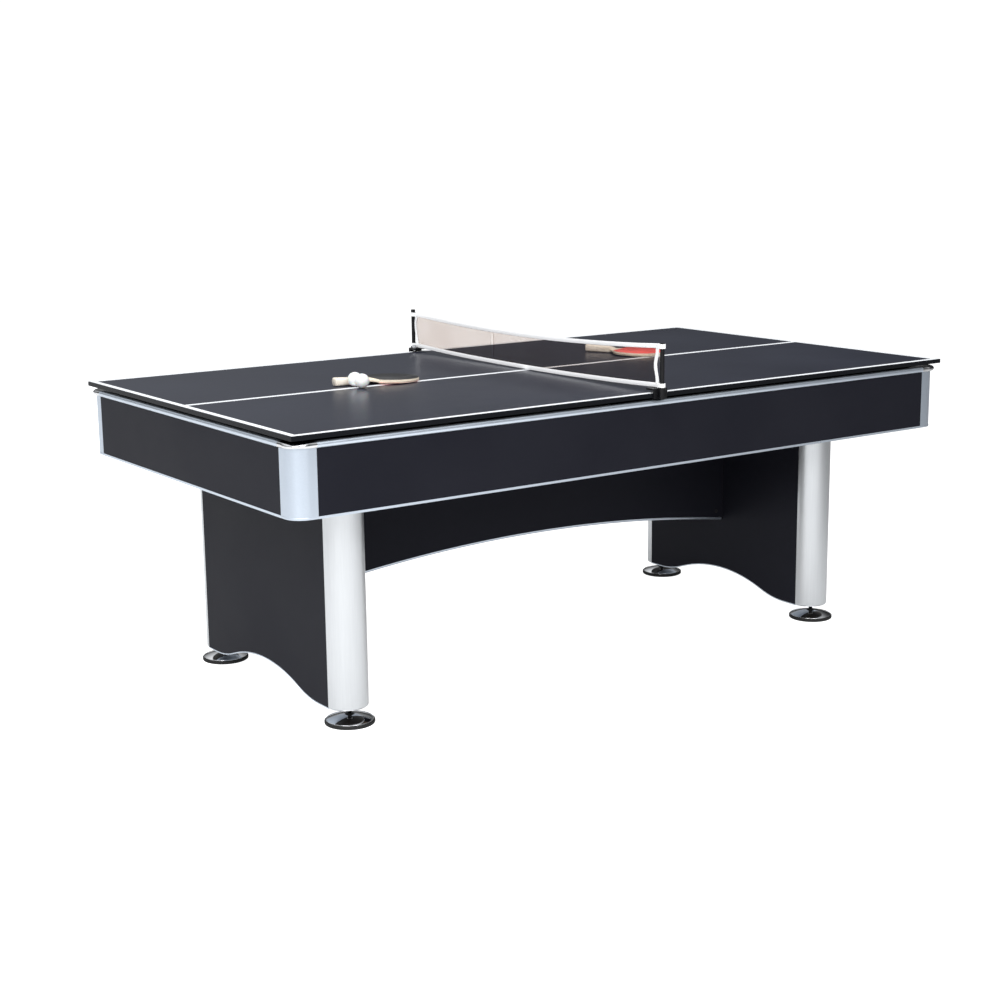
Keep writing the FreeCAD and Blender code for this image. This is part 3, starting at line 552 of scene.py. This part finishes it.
def turned_rings(profile, centre, segments=72):
    """profile is (radius, z) from the bottom to the top; the axis is upright through centre."""
    turns = [2 * math.pi * k / segments for k in range(segments)]
    return [[(centre[0] + radius * math.cos(t), centre[1] + radius * math.sin(t), z) for t in turns]
            for radius, z in profile]


def arc(centre, radius, start, end, steps):
    """Points in a plane on an arc, angles in degrees."""
    turns = [math.radians(start + (end - start) * k / steps) for k in range(steps + 1)]
    return [(centre[0] + radius * math.cos(t), centre[1] + radius * math.sin(t)) for t in turns]


def arc_through(start, middle, end, steps):
    """Points on the circle through three points in a plane, from start to end."""
    (ax, ay), (bx, by), (cx, cy) = start, middle, end
    twice = 2 * (ax * (by - cy) + bx * (cy - ay) + cx * (ay - by))
    a, b, c = ax ** 2 + ay ** 2, bx ** 2 + by ** 2, cx ** 2 + cy ** 2
    centre = ((a * (by - cy) + b * (cy - ay) + c * (ay - by)) / twice,
              (a * (cx - bx) + b * (ax - cx) + c * (bx - ax)) / twice)
    radius = math.dist(centre, start)
    first = math.degrees(math.atan2(ay - centre[1], ax - centre[0]))
    last = math.degrees(math.atan2(cy - centre[1], cx - centre[0]))
    return arc(centre, radius, first, last, steps)


def rounded_rectangle(half_x, half_z, radius, steps=3):
    points = []
    for sx, sz, start in ((1, 1, 0), (-1, 1, 90), (-1, -1, 180), (1, -1, 270)):
        centre = (sx * (half_x - radius), sz * (half_z - radius))
        points += arc(centre, radius, start, start + 90, steps)
    return points


def settle(made, body, slot, material, *nodes):
    """Gives a piece its material and its body, and hides the nodes that it stands for; slot is not used."""
    made.data.materials.clear()
    made.data.materials.append(MATERIALS[material])
    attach(made, body)
    if nodes:
        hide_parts(*nodes)
    return made


# ---- Casing ----

def casting_profile():
    """(radius, z) outline of a corner casting: a wall with a small rounded lip at the bottom."""
    inner = CORNER_R - BOARD
    lip = CORNER_R + LIP_PROUD
    low = CASE_BOTTOM
    return [(inner, low), (lip - 0.001, low), (lip - 0.0003, low + 0.0003), (lip, low + 0.001),
            (lip, low + STRIP - LIP_PROUD), (CORNER_R, low + STRIP), (CORNER_R, APRON_TOP - 0.0006),
            (CORNER_R - 0.0005, APRON_TOP), (inner, APRON_TOP)]


def corner_stations(steps):
    """Along a wall round the +X, +Y corner: the centre that it turns about, and its way out."""
    stations = [((CORNER_X, RUN_Y), (1, 0))]
    for k in range(steps + 1):
        turn = math.pi / 2 * k / steps
        stations.append(((CORNER_X, CORNER_Y), (math.cos(turn), math.sin(turn))))
    stations.append(((RUN_X, CORNER_Y), (0, 1)))
    return stations


def corner_castings():
    for sx, side in SIDES:
        for sy, end in ENDS:
            rings = []
            for (x, y), out in corner_stations(CASTING_STEPS):
                rings.append([(sx * (x + r * out[0]), sy * (y + r * out[1]), z)
                              for r, z in casting_profile()])
            made = loft("casting_" + side + "_" + end, rings)
            settle(made, "table", "silver_trim", "silver_casting", "corner_castings")


def trim_profile(steps=12):
    """(distance out from the casing's face, z) of the bullnose trim."""
    half = (RAIL_TOP - APRON_TOP) / 2
    middle = (RAIL_TOP + APRON_TOP) / 2
    points = [(-BOARD, APRON_TOP)]
    for k in range(steps + 1):
        turn = -math.pi / 2 + math.pi * k / steps
        points.append((TRIM_BULGE * math.cos(turn), middle + half * math.sin(turn)))
    points.append((-BOARD, RAIL_TOP))
    return points


def rail_trims():
    for sy, end in ENDS:
        rings = [[(x, sy * (CASE_Y + out), z) for out, z in trim_profile()] for x in (-RUN_X, RUN_X)]
        settle(loft("trim_" + end, rings), "table", "silver_trim", "silver_trim", "rail_trims")
    for sx, side in SIDES:
        rings = [[(sx * (CASE_X + out), y, z) for out, z in trim_profile()] for y in (-RUN_Y, RUN_Y)]
        settle(loft("trim_" + side, rings), "table", "silver_trim", "silver_trim", "rail_trims")


def cap_lip(bulge):
    """(distance out from the wall's outer face, z) of a corner cap's lip, from its foot to its top."""
    middle = (RAIL_TOP + APRON_TOP) / 2
    half = (RAIL_TOP - APRON_TOP) / 2
    points = []
    for k in range(13):
        turn = -math.pi / 2 + math.pi * k / 12
        flat = abs(math.sin(turn)) ** 1.3 * math.copysign(1, math.sin(turn))
        points.append((BOARD + bulge * math.cos(turn) ** 0.8, middle + half * flat))
    return points


def cap_stations():
    """Round the +X, +Y corner cap in plan: inner point, outer point, way out, and 1 where it has a lip."""
    inner_r = CORNER_R - BOARD
    face_x = CASE_X - BOARD
    face_y = CASE_Y - BOARD
    start = CORNER_POCKET.y - CAP_LEG
    outer = [((face_x, start), (1, 0), 0), ((face_x, RUN_Y), (1, 0), 0)]
    for (x, y), out in corner_stations(CAP_STEPS):
        outer.append(((x + inner_r * out[0], y + inner_r * out[1]), out, 1))
    outer += [((RUN_X, face_y), (0, 1), 0), ((CORNER_POCKET.x - CAP_LEG, face_y), (0, 1), 0)]
    low = -math.asin(CAP_LEG / CORNER_POCKET_R)
    high = math.pi / 2 - low
    stations = []
    for place, out, lip in outer:
        aim = math.atan2(place[1] - CORNER_POCKET.y, place[0] - CORNER_POCKET.x)
        turn = min(max(aim, low), high)
        inner = (CORNER_POCKET.x + CORNER_POCKET_R * math.cos(turn),
                 CORNER_POCKET.y + CORNER_POCKET_R * math.sin(turn))
        stations.append((inner, place, out, lip))
    return stations


def corner_caps():
    """Chromed pocket castings: a wall round the pocket and a rolled lip over the corner."""
    for sx, side in SIDES:
        for sy, end in ENDS:
            rings = []
            for inner, outer, out, lip in cap_stations():
                bulge = TRIM_BULGE + (CAP_BULGE - TRIM_BULGE) * 2 * out[0] * out[1]
                toward = Vector(outer) - Vector(inner)
                toward.normalize()
                ring = [(*inner, BED_TOP), (*inner, RAIL_TOP - CAP_EDGE)]
                for k in (1, 2, 3):
                    turn = math.pi / 2 * k / 3
                    step = CAP_EDGE * (1 - math.cos(turn))
                    rise = CAP_EDGE * (1 - math.sin(turn))
                    ring.append((inner[0] + toward.x * step, inner[1] + toward.y * step, RAIL_TOP - rise))
                for reach, z in reversed(cap_lip(bulge)):
                    reach = reach if lip else 0.0
                    ring.append((outer[0] + out[0] * reach, outer[1] + out[1] * reach, z))
                ring += [(*outer, APRON_TOP), (*outer, BED_TOP)]
                rings.append([(sx * x, sy * y, z) for x, y, z in ring])
            made = loft("corner_cap_" + side + "_" + end, rings, sharp_degrees=40)
            settle(made, "table", "chrome", "chrome", "corner_pocket_caps")


# ---- Bed, cushions and pads ----

def circle(centre, radius, steps):
    return arc(centre, radius, 0, 360 * (1 - 1 / steps), steps - 1)


def bed_cloth():
    """One cloth drawn tight over the bed and turned down a little way into the six pockets."""
    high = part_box("bed_cloth")[1]
    radius = CORNER_R - BOARD - CLOTH_GAP
    outline = []
    for sx, sy, start in ((1, 1, 0), (-1, 1, 90), (-1, -1, 180), (1, -1, 270)):
        outline += arc((sx * (high.x - radius), sy * (high.y - radius)), radius, start, start + 90, 8)
    holes = []
    for sx, _ in SIDES:
        for sy, _ in ENDS:
            holes.append(((sx * CORNER_POCKET.x, sy * CORNER_POCKET.y), CORNER_POCKET_R - 0.0005))
    for sy, _ in ENDS:
        holes.append(((0, sy * SIDE_POCKET.y), SIDE_POCKET_R - 0.0005))
    steps = 48
    loops = [outline] + [list(reversed(circle(centre, r + 0.002, steps))) for centre, r in holes]
    bm = bmesh.new()
    made = [bm.verts.new((x, y, BED_TOP)) for loop in loops for x, y in loop]
    flat = [[Vector((x, y, 0)) for x, y in loop] for loop in loops]
    for corners in tessellate_polygon(flat):
        bm.faces.new([made[k] for k in corners])
    for centre, r in holes:
        rims = []
        for grow, drop in ((0.002, 0), (0.0006, 0.0004), (0, 0.0016), (-0.0004, 0.006)):
            rims.append([bm.verts.new((x, y, BED_TOP - drop)) for x, y in circle(centre, r + grow, steps)])
        for first, second in zip(rims, rims[1:]):
            for k in range(steps):
                after = (k + 1) % steps
                bm.faces.new((first[k], first[after], second[after], second[k]))
    cloth = make_object("playing_cloth", bm, 60)
    thicken = cloth.modifiers.new("thickness", "SOLIDIFY")
    thicken.thickness = CLOTH_THICK
    settle(cloth, "table", "bed_cloth", "bed_cloth", "bed_cloth")


def cushion_rings(length_at, facing, out, place):
    """Rings from one mitred end to the other. place(along, across, z) gives the point."""
    toe = BED_TOP + CUSHION_TOE
    nose = BED_TOP + NOSE_HEIGHT
    back = RAIL_TOP - 0.001
    outline = [(0.0030, nose - 0.008), (0.0012, nose - 0.0045), (0.0002, nose - 0.0018),
               (0.0, nose), (0.0006, nose + 0.0014), (0.0030, nose + 0.0022),
               (CUSHION_DEPTH, back), (CUSHION_DEPTH, toe)]
    rings = []
    for end in (0, 1):
        ring = []
        for across, z in outline:
            along = length_at[end] + facing[end] * across
            ring.append(place(along, out + across, z))
        rings.append(ring)
    return rings


def cushions():
    nose_y = CASE_Y - RAIL_WIDTH
    nose_x = CASE_X - RAIL_WIDTH
    corner = 1 / math.tan(CORNER_FACING)
    side = -1 / math.tan(SIDE_FACING)
    for sx, side_name in SIDES:
        for sy, end in ENDS:
            rings = cushion_rings((SIDE_MOUTH, nose_x - CORNER_MOUTH), (side, corner), nose_y,
                                  lambda along, across, z: (sx * along, sy * across, z))
            made = loft("cushion_" + end + "_" + side_name, rings, sharp_degrees=30)
            settle(made, "table", "cushion_rubber", "bed_cloth", "long_cushions")
        far = nose_y - CORNER_MOUTH
        rings = cushion_rings((-far, far), (-corner, corner), nose_x,
                              lambda along, across, z: (sx * across, along, z))
        made = loft("cushion_end_" + side_name, rings, sharp_degrees=30)
        settle(made, "table", "cushion_rubber", "bed_cloth", "end_cushions")


# ---- Stretcher ----

def stretcher_strip():
    """A bullnose strip with rounded ends along the stretcher's arched lower edge."""
    half = STRIP_HIGH.x
    thick = (STRIP_HIGH.y - STRIP_LOW.y) / 2
    depth = 0.008
    crown = STRIP_HIGH.z
    sag = crown - STRIP_LOW.z - depth
    radius = (half ** 2 + sag ** 2) / (2 * sag)
    steps = 72
    xs = [half * math.sin(math.pi / 2 * k / steps) if k > steps - 8 else half * k / steps
          for k in range(steps + 1)]
    xs = [-x for x in reversed(xs[1:])] + xs
    rings = []
    for x in xs:
        edge = crown - radius + math.sqrt(radius ** 2 - x ** 2)
        near_end = min(1.0, (half - abs(x)) / thick)
        shrink = math.sqrt(max(0.0, 1 - (1 - near_end) ** 2))
        shrink = max(shrink, 0.05)
        ring = []
        for k in range(9):
            turn = math.pi + math.pi * k / 8
            ring.append((x, thick * shrink * math.cos(turn), edge - 0.002 + (depth - 0.002) * math.sin(turn)))
        ring += [(x, thick * shrink, edge), (x, -thick * shrink, edge)]
        rings.append(ring)
    made = loft("stretcher_bullnose", rings, sharp_degrees=50)
    settle(made, "table", "silver_trim", "silver_trim", "stretcher_edge_strip")


# ---- Levelers ----

def dish_profile():
    """(radius, z) of the chromed dish, from under its rim to the collar round the screw."""
    rim = PAD_TOP + DISH_RIM
    under = PAD_TOP + DISH_LIFT
    bead_r = DISH_R - DISH_BEAD
    points = [(0.0, under), (bead_r, under)]
    points += arc((bead_r, PAD_TOP + DISH_BEAD), DISH_BEAD, -60, 120, 8)
    points += arc_through((DISH_R - 0.0022, rim), ((DISH_R + DISH_TOP_R) / 2, DISH_MIDDLE),
                          (DISH_TOP_R + 0.0006, DISH_TOP - 0.0003), 20)
    points += [(DISH_TOP_R - 0.0012, DISH_TOP), (0.0105, DISH_TOP + 0.0002), (0.010, DISH_TOP + 0.0028)]
    return points


def thread_rings(centre, low, high):
    """An M12 screw: a V thread that climbs one pitch a turn, from low to high."""
    around = 24
    levels = int((high - low) / (THREAD_STEP / 6))
    rings = []
    for level in range(levels + 1):
        z = low + (high - low) * level / levels
        ring = []
        for k in range(around):
            phase = (z / THREAD_STEP - k / around) % 1
            depth = THREAD_DEPTH * abs(2 * phase - 1)
            fade = min(1.0, (high - z) / THREAD_STEP + 0.3)
            radius = STEM_R - THREAD_DEPTH + (THREAD_DEPTH - depth) * fade
            turn = 2 * math.pi * k / around
            ring.append((centre[0] + radius * math.cos(turn), centre[1] + radius * math.sin(turn), z))
        rings.append(ring)
    return rings


def levelers():
    pad = [(0.0, 0.0)]
    pad += arc((FOOT_R - PAD_EDGE, PAD_EDGE), PAD_EDGE, -90, -8, 6)
    pad += [(FOOT_R - 0.0005, 0.0040), (FOOT_R - 0.0005, 0.0046)]
    pad += arc((FOOT_R - PAD_EDGE, PAD_TOP - PAD_EDGE), PAD_EDGE, 8, 90, 6)
    pad += [(0.0, PAD_TOP)]
    for sx, side in SIDES:
        for sy, end in ENDS:
            centre = (sx * FOOT_X, sy * FOOT_Y)
            key = side + "_" + end
            foot = loft("foot_rubber_" + key, turned_rings(pad, centre))
            settle(foot, "leveler_pad_" + key, "pad_rubber", "pad_rubber", "leveler_pad_" + key)
            bm = bmesh.new()
            add_loft(bm, turned_rings(dish_profile(), centre))
            add_loft(bm, thread_rings(centre, DISH_TOP + 0.0026, STEM_TOP))
            dish = make_object("foot_dish_" + key, bm, 30)
            settle(dish, "leveler_" + key, "chrome", "chrome", "leveler_" + key)
            dish.data.materials.append(MATERIALS["black_steel"])
            for face in dish.data.polygons:
                from_axis = math.dist(face.center[:2], centre)
                face.material_index = int(from_axis < COLLAR_R and face.center.z > DISH_TOP - 0.0005)


# ---- Lines on the table tennis top ----

def add_slab(bm, x0, x1, y0, y1, z0, z1):
    ring = [(x0, y0), (x1, y0), (x1, y1), (x0, y1)]
    add_loft(bm, [[(x, y, z0) for x, y in ring], [(x, y, z1) for x, y in ring]])


def court_lines():
    low = TOP_Z - PAINT
    high = TOP_Z + PAINT
    seam = TOP_LOW.x
    inner_x = TOP_X - EDGE_LINE
    inner_y = TOP_Y - EDGE_LINE
    outer_x = TOP_X - EDGE_MARGIN
    outer_y = TOP_Y - EDGE_MARGIN
    for sx, side in SIDES:
        bm = bmesh.new()
        add_slab(bm, sx * inner_x, sx * outer_x, -outer_y, outer_y, low, high)
        for sy in (-1, 1):
            add_slab(bm, sx * seam, sx * inner_x, sy * inner_y, sy * outer_y, low, high)
        add_slab(bm, sx * seam, sx * inner_x, -CENTRE_LINE / 2, CENTRE_LINE / 2, low, high)
        made = make_object("court_lines_" + side, bm)
        settle(made, "conversion_top", "tennis_top", "line_paint")


# ---- Net ----

def top_tape_z(y):
    """Height of the top tape's middle: it sags between the posts, and hangs lower at the back post."""
    share = y / NET_SIDE
    tilt = (TAPE_BACK - TAPE_FRONT) / 2
    sag = (TAPE_FRONT + TAPE_BACK) / 2 - TAPE_MIDDLE
    return TAPE_MIDDLE + tilt * share + sag * share ** 2


def low_tape_z(y):
    share = abs(y) / NET_SIDE
    return LOW_TAPE_MIDDLE + LOW_TAPE_RISE * share ** 2.2


def side_y(end, share):
    """Distance from the table's middle line to the net's side tape, share of the way up. The front
    one bows away from its post, and the back one towards it."""
    if end < 0:
        return 0.5915 - 0.008 * math.sin(math.pi * share) + 0.002 * math.sin(3 * math.pi * share)
    return 0.587 + 0.010 * math.sin(math.pi * share) - 0.003 * math.sin(2 * math.pi * share)


def slack(y, share):
    """How far the slack net stands off its plane."""
    ripple = 0.0026 * math.sin(y / 0.09 + 0.7) + 0.0012 * math.sin(y / 0.041 + 1.9)
    fold = 0.0016 * math.exp(-((y - 0.17) / 0.004) ** 2)
    return math.sin(math.pi * share) * ripple + fold * math.sin(math.pi * share) ** 0.5


def net_point(end, along, share):
    """A point of the net's sheet: along is the distance from the middle, share the way up."""
    near_side = min(1.0, max(0.0, (along - NET_BOW_START) / (NET_SIDE - NET_BOW_START)))
    ease = near_side ** 2 * (3 - 2 * near_side)
    y = end * (along + (side_y(end, share) - NET_SIDE) * ease)
    low = low_tape_z(y)
    high = top_tape_z(y)
    return Vector((slack(y, share) * (1 - ease * 0.6), y, low + (high - low) * share))


def square_ring(middle, across, up, half):
    return [middle + across * half + up * half, middle - across * half + up * half,
            middle - across * half - up * half, middle + across * half - up * half]


def net_threads(end):
    bm = bmesh.new()
    half = THREAD / 2
    columns = int(NET_SIDE / THREAD_PITCH)
    for k in range(columns):
        along = (k + 0.5) * THREAD_PITCH
        shares = [level / 8 for level in range(9)]
        rings = [square_ring(net_point(end, along, s), X_AXIS, Y_AXIS, half) for s in shares]
        add_loft(bm, rings)
    rows = int((MESH_HIGH - MESH_LOW) / THREAD_PITCH)
    spans = 56
    for row in range(rows):
        share = (row + 0.5) / rows
        points = [net_point(end, NET_SIDE * k / spans, share) for k in range(spans + 1)]
        add_loft(bm, [square_ring(point, X_AXIS, Z_AXIS, half) for point in points])
    return bm


def tape_rings(points, width_axis, half_width, half_thick):
    """A flat tape with softened edges along the points; its thickness is along X."""
    outline = rounded_rectangle(half_thick, half_width, half_thick * 0.8, 2)
    return [[point + Vector((a, 0, 0)) + width_axis * b for a, b in outline] for point in points]


def post_loop(end, z_of):
    """The tape's loop round a post: a thin band that starts and ends at the tape's end."""
    radius = POST_HIGH.x + 0.0011
    half_thick = LOOP_THICK / 2
    centre = end * POST_Y
    join = end * (NET_SIDE - 0.004)
    path = [(0.0009, join)]
    for k in range(13):
        turn = math.pi * k / 12
        path.append((radius * math.cos(turn), centre + end * radius * math.sin(turn)))
    path.append((-0.0009, join))
    rings = []
    for k, (x, y) in enumerate(path):
        before = Vector(path[max(k - 1, 0)])
        after = Vector(path[min(k + 1, len(path) - 1)])
        run = (after - before).normalized()
        out = Vector((run.y, -run.x, 0)) * half_thick
        z = z_of(end * min(abs(y), NET_SIDE))
        ring = []
        for a, b in rounded_rectangle(1.0, TAPE / 2, 0.0005, 2):
            ring.append(Vector((x, y, z + b)) + out * max(-1.0, min(1.0, a)))
        rings.append(ring)
    return rings


def net_half(end, name):
    threads = make_object("net_mesh_" + name, net_threads(end), 30)
    bm = bmesh.new()
    for z_of in (top_tape_z, low_tape_z):
        points = []
        for k in range(65):
            y = end * NET_SIDE * k / 64
            drift = 0.0007 * math.sin(y / 0.06)
            points.append(Vector((drift, y, z_of(y))))
        add_loft(bm, tape_rings(points, Z_AXIS, TAPE / 2, TAPE_THICK / 2))
        add_loft(bm, post_loop(end, z_of))
    points = [net_point(end, NET_SIDE, k / 24) for k in range(25)]
    points = [Vector((0.0015 * math.sin(math.pi * k / 24), p.y, p.z)) for k, p in enumerate(points)]
    add_loft(bm, tape_rings(points, Y_AXIS, TAPE / 2, TAPE_THICK / 2))
    tape = make_object("net_tape_" + name, bm, 40)
    for made, slot, material, cad in ((threads, "net_mesh", "net_thread", "net_mesh"),
                                      (tape, "net_tape", "net_tape", "net_binding")):
        made.data.materials.append(MATERIALS[material])
        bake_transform(made)
        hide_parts(cad)


# ---- Bats and balls ----

def blade_half_width(x):
    """Half the blade's width, x from the handle's end: an ellipse that flows into the neck."""
    centre = BAT_LENGTH - BLADE_LONG
    share = (x - centre) / BLADE_LONG
    oval = BLADE_WIDE * math.sqrt(max(0.0, 1 - share ** 2))
    start, end = 0.084, 0.128
    if x >= end:
        return oval
    t = max(0.0, (x - start) / (end - start))
    share = (end - centre) / BLADE_LONG
    full = BLADE_WIDE * math.sqrt(1 - share ** 2)
    return 0.0125 + (full - 0.0125) * (t ** 2 * (3 - 2 * t) * 0.55 + 0.45 * t ** 1.6)


def blade_outline(start, inset, steps=56):
    """The blade's outline from x = start to the tip and back, moved in by inset."""
    tip = BAT_LENGTH - inset
    xs = [start + (tip - start) * math.sin(math.pi / 2 * k / steps) for k in range(steps + 1)]
    upper = [(x, max(0.0, blade_half_width(min(x + inset * 0.5, BAT_LENGTH)) - inset)) for x in xs[:-1]]
    upper.append((tip, 0.0))
    return upper + [(x, -y) for x, y in reversed(upper[:-1])]


def layer(name, outline, low, high, ease):
    """A flat layer with softened edges, in the bat's own frame."""
    centre = Vector((BAT_LENGTH - BLADE_LONG, 0))
    rings = []
    for shrink, z in ((ease, low), (0.0, low + ease), (0.0, high - ease), (ease, high)):
        ring = []
        for x, y in outline:
            toward = centre - Vector((x, y))
            step = toward.normalized() * shrink if toward.length > shrink else toward
            ring.append((x + step.x, y + step.y, z))
        rings.append(ring)
    return loft(name, rings, sharp_degrees=50)


def bat_handle(name):
    """A flared handle, thicker at its end, with softened corners and a domed end."""
    rings = []
    stations = [(0.0, 0.86), (0.0015, 0.95), (0.004, 1.0), (0.030, 0.93), (0.060, 0.87),
                (0.082, 0.90), (0.090, 0.90), (0.100, 0.88)]
    for x, grow in stations:
        slope = max(0.0, (x - 0.084) / 0.016)
        half_y = HANDLE_WIDE / 2 * grow
        half_z = HANDLE_THICK / 2 * grow * (1 - 0.62 * slope)
        rings.append([(x, a, b) for a, b in rounded_rectangle(half_y, half_z, half_z * 0.62, 5)])
    return loft(name, rings, sharp_degrees=60)


def bats():
    tilt = math.atan2((HANDLE_THICK - PLY - 2 * RUBBER) / 2, BAT_LENGTH)
    faces = {"bat_left": ("dark_rubber", "red_rubber"), "bat_right": ("red_rubber", "dark_rubber")}
    for body, (x, y, heading) in BAT_PLACES.items():
        up, down = faces[body]
        half = PLY / 2
        full = half + RUBBER
        sheet = blade_outline(0.117, 0.0006)
        parts = ((layer(body + "_blade", blade_outline(0.070, 0.0), -half, half, 0.0008), "ply"),
                 (layer(body + "_rubber_up", sheet, half, full, 0.0003), up),
                 (layer(body + "_rubber_down", sheet, -full, -half, 0.0003), down),
                 (bat_handle(body + "_handle"), "bat_wood"))
        turn = Matrix.Rotation(math.radians(heading), 4, "Z") @ Matrix.Rotation(tilt, 4, "Y")
        lowest = min((turn @ vertex.co).z for part, _ in parts for vertex in part.data.vertices)
        lift = TOP_Z + 0.0001 - lowest
        for part, material in parts:
            part.matrix_world = Matrix.Translation((x, y, lift)) @ turn
            settle(part, body, "bat_wood", material, body)
            if material.endswith("rubber"):
                part.data.materials.append(MATERIALS["sponge"])
                for face in part.data.polygons:
                    face.material_index = int(abs(face.normal.z) < 0.7)


def balls():
    """Balls with the faint seam where the halves of their shell meet."""
    for number, lean in ((1, 35), (2, 110)):
        name = "ball_" + str(number)
        low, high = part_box(name)
        centre = (low + high) / 2
        steps = 48
        profile = []
        for k in range(steps + 1):
            turn = math.pi * k / steps
            seam = SEAM if k == steps // 2 else 0.0
            profile.append(((BALL_R - seam) * math.sin(turn), -(BALL_R - seam) * math.cos(turn)))
        made = loft(name + "_shell", turned_rings(profile, (0, 0)), sharp_degrees=60)
        lying = Matrix.Rotation(math.radians(lean), 4, "X") @ Matrix.Rotation(math.radians(lean / 2), 4, "Y")
        made.matrix_world = Matrix.Translation(centre) @ lying
        settle(made, name, "ball_white", "ball_white", name)


# ---- Stage ----

def stage():
    bm = bmesh.new()
    corners = ((-1, -1), (1, -1), (1, 1), (-1, 1))
    bm.faces.new([bm.verts.new((x * FLOOR_REACH, y * FLOOR_REACH, 0)) for x, y in corners])
    floor = make_object("floor", bm)
    made, tree, surface = new_material("pale_floor", (0.84, 0.84, 0.84), 0.9, specular=0.1)
    surface.inputs["Emission Color"].default_value = (1, 1, 1, 1)
    along = node(tree, "ShaderNodeSeparateXYZ", Vector=place_of(tree)).outputs["X"]
    tone = spread(tree, along, *FLOOR_TONES, *FLOOR_ENDS)
    tree.links.new(tone, surface.inputs["Base Color"])
    seen = node(tree, "ShaderNodeLightPath").outputs["Is Camera Ray"]
    glow = spread(tree, seen, 0, FLOOR_GLOW, 0, 1)
    tree.links.new(spread(tree, along, *FLOOR_LIGHT, *FLOOR_ENDS), glow.node.inputs["To Min"])
    tree.links.new(glow, surface.inputs["Emission Strength"])
    floor.data.materials.append(made)


def direction(azimuth, elevation):
    """The way to a place in the sky, angles in degrees; azimuth 0 is the front, 90 the right."""
    a = math.radians(azimuth)
    e = math.radians(elevation)
    return Vector((math.sin(a) * math.cos(e), -math.cos(a) * math.cos(e), math.sin(e)))


def sun(name, strength, azimuth, elevation, width):
    """Even light from a broad patch of sky."""
    data = bpy.data.lights.new(name, "SUN")
    data.energy = strength
    data.angle = math.radians(width)
    made = bpy.data.objects.new(name, data)
    bpy.context.scene.collection.objects.link(made)
    made.rotation_euler = direction(azimuth, elevation).to_track_quat("Z", "Y").to_euler()


def soft_box(name, power, target, azimuth, elevation, away, size):
    """A round lamp that many metres from its target, so the light falls off along the table."""
    data = bpy.data.lights.new(name, "AREA")
    data.shape = "DISK"
    data.energy = power
    data.size = size
    made = bpy.data.objects.new(name, data)
    bpy.context.scene.collection.objects.link(made)
    back = direction(azimuth, elevation)
    turn = back.to_track_quat("Z", "Y").to_matrix().to_4x4()
    made.matrix_world = Matrix.Translation(Vector(target) + back * away) @ turn


def sky():
    """A studio round the table: dark near the horizon, bright overhead, and white behind the floor."""
    world = bpy.data.worlds.new("studio")
    bpy.context.scene.world = world
    world.use_nodes = True
    tree = world.node_tree
    lit = tree.nodes["Background"]
    place = node(tree, "ShaderNodeTexCoord").outputs["Generated"]
    aim = node(tree, "ShaderNodeSeparateXYZ", Vector=place).outputs
    rise = spread(tree, aim["Z"], 0.01, 0.95, 0.05, 0.72)
    side = spread(tree, aim["X"], 1.1, 0.12, 0.40, 0.80)
    shade = node(tree, "ShaderNodeMath", operation="MULTIPLY")
    tree.links.new(rise, shade.inputs[0])
    tree.links.new(side, shade.inputs[1])
    tree.links.new(shade.outputs[0], lit.inputs["Strength"])
    lit.inputs["Color"].default_value = (0.96, 0.98, 1.0, 1)
    seen = node(tree, "ShaderNodeBackground", Color=(1, 1, 1, 1), Strength=SKY_GLOW)
    mix = node(tree, "ShaderNodeMixShader")
    tree.links.new(node(tree, "ShaderNodeLightPath").outputs["Is Camera Ray"], mix.inputs[0])
    tree.links.new(lit.outputs[0], mix.inputs[1])
    tree.links.new(seen.outputs[0], mix.inputs[2])
    tree.links.new(mix.outputs[0], tree.nodes["World Output"].inputs["Surface"])


def lights():
    sun("overhead", SUN, -40, 70, 50)
    soft_box("key", KEY, (-0.9, -0.4, 0.6), -50, 28, 4.0, 2.2)
    soft_box("front", FRONT, (0.0, -0.6, 0.7), -8, 30, 4.5, 2.6)
    sky()


def camera():
    data = bpy.data.cameras.new("camera")
    data.lens = CAMERA_LENS
    data.sensor_width = 36
    data.clip_end = 200
    made = bpy.data.objects.new("camera", data)
    bpy.context.scene.collection.objects.link(made)
    back = direction(CAMERA_AZIMUTH, CAMERA_ELEVATION)
    right = direction(CAMERA_AZIMUTH + 90, 0)
    up = back.cross(right)
    across = right * math.cos(CAMERA_ROLL) + up * math.sin(CAMERA_ROLL)
    upright = up * math.cos(CAMERA_ROLL) - right * math.sin(CAMERA_ROLL)
    turn = Matrix((across, upright, back)).transposed()
    made.matrix_world = Matrix.Translation(CAMERA_PLACE) @ turn.to_4x4()
    bpy.context.scene.camera = made


camera()
stage()
lights()
repaint_frame()
corner_castings()
rail_trims()
corner_caps()
bed_cloth()
cushions()
stretcher_strip()
levelers()
court_lines()
for sign, end_name in ENDS:
    net_half(sign, end_name)
bats()
balls()
bpy.context.scene.view_settings.view_transform = "Standard"
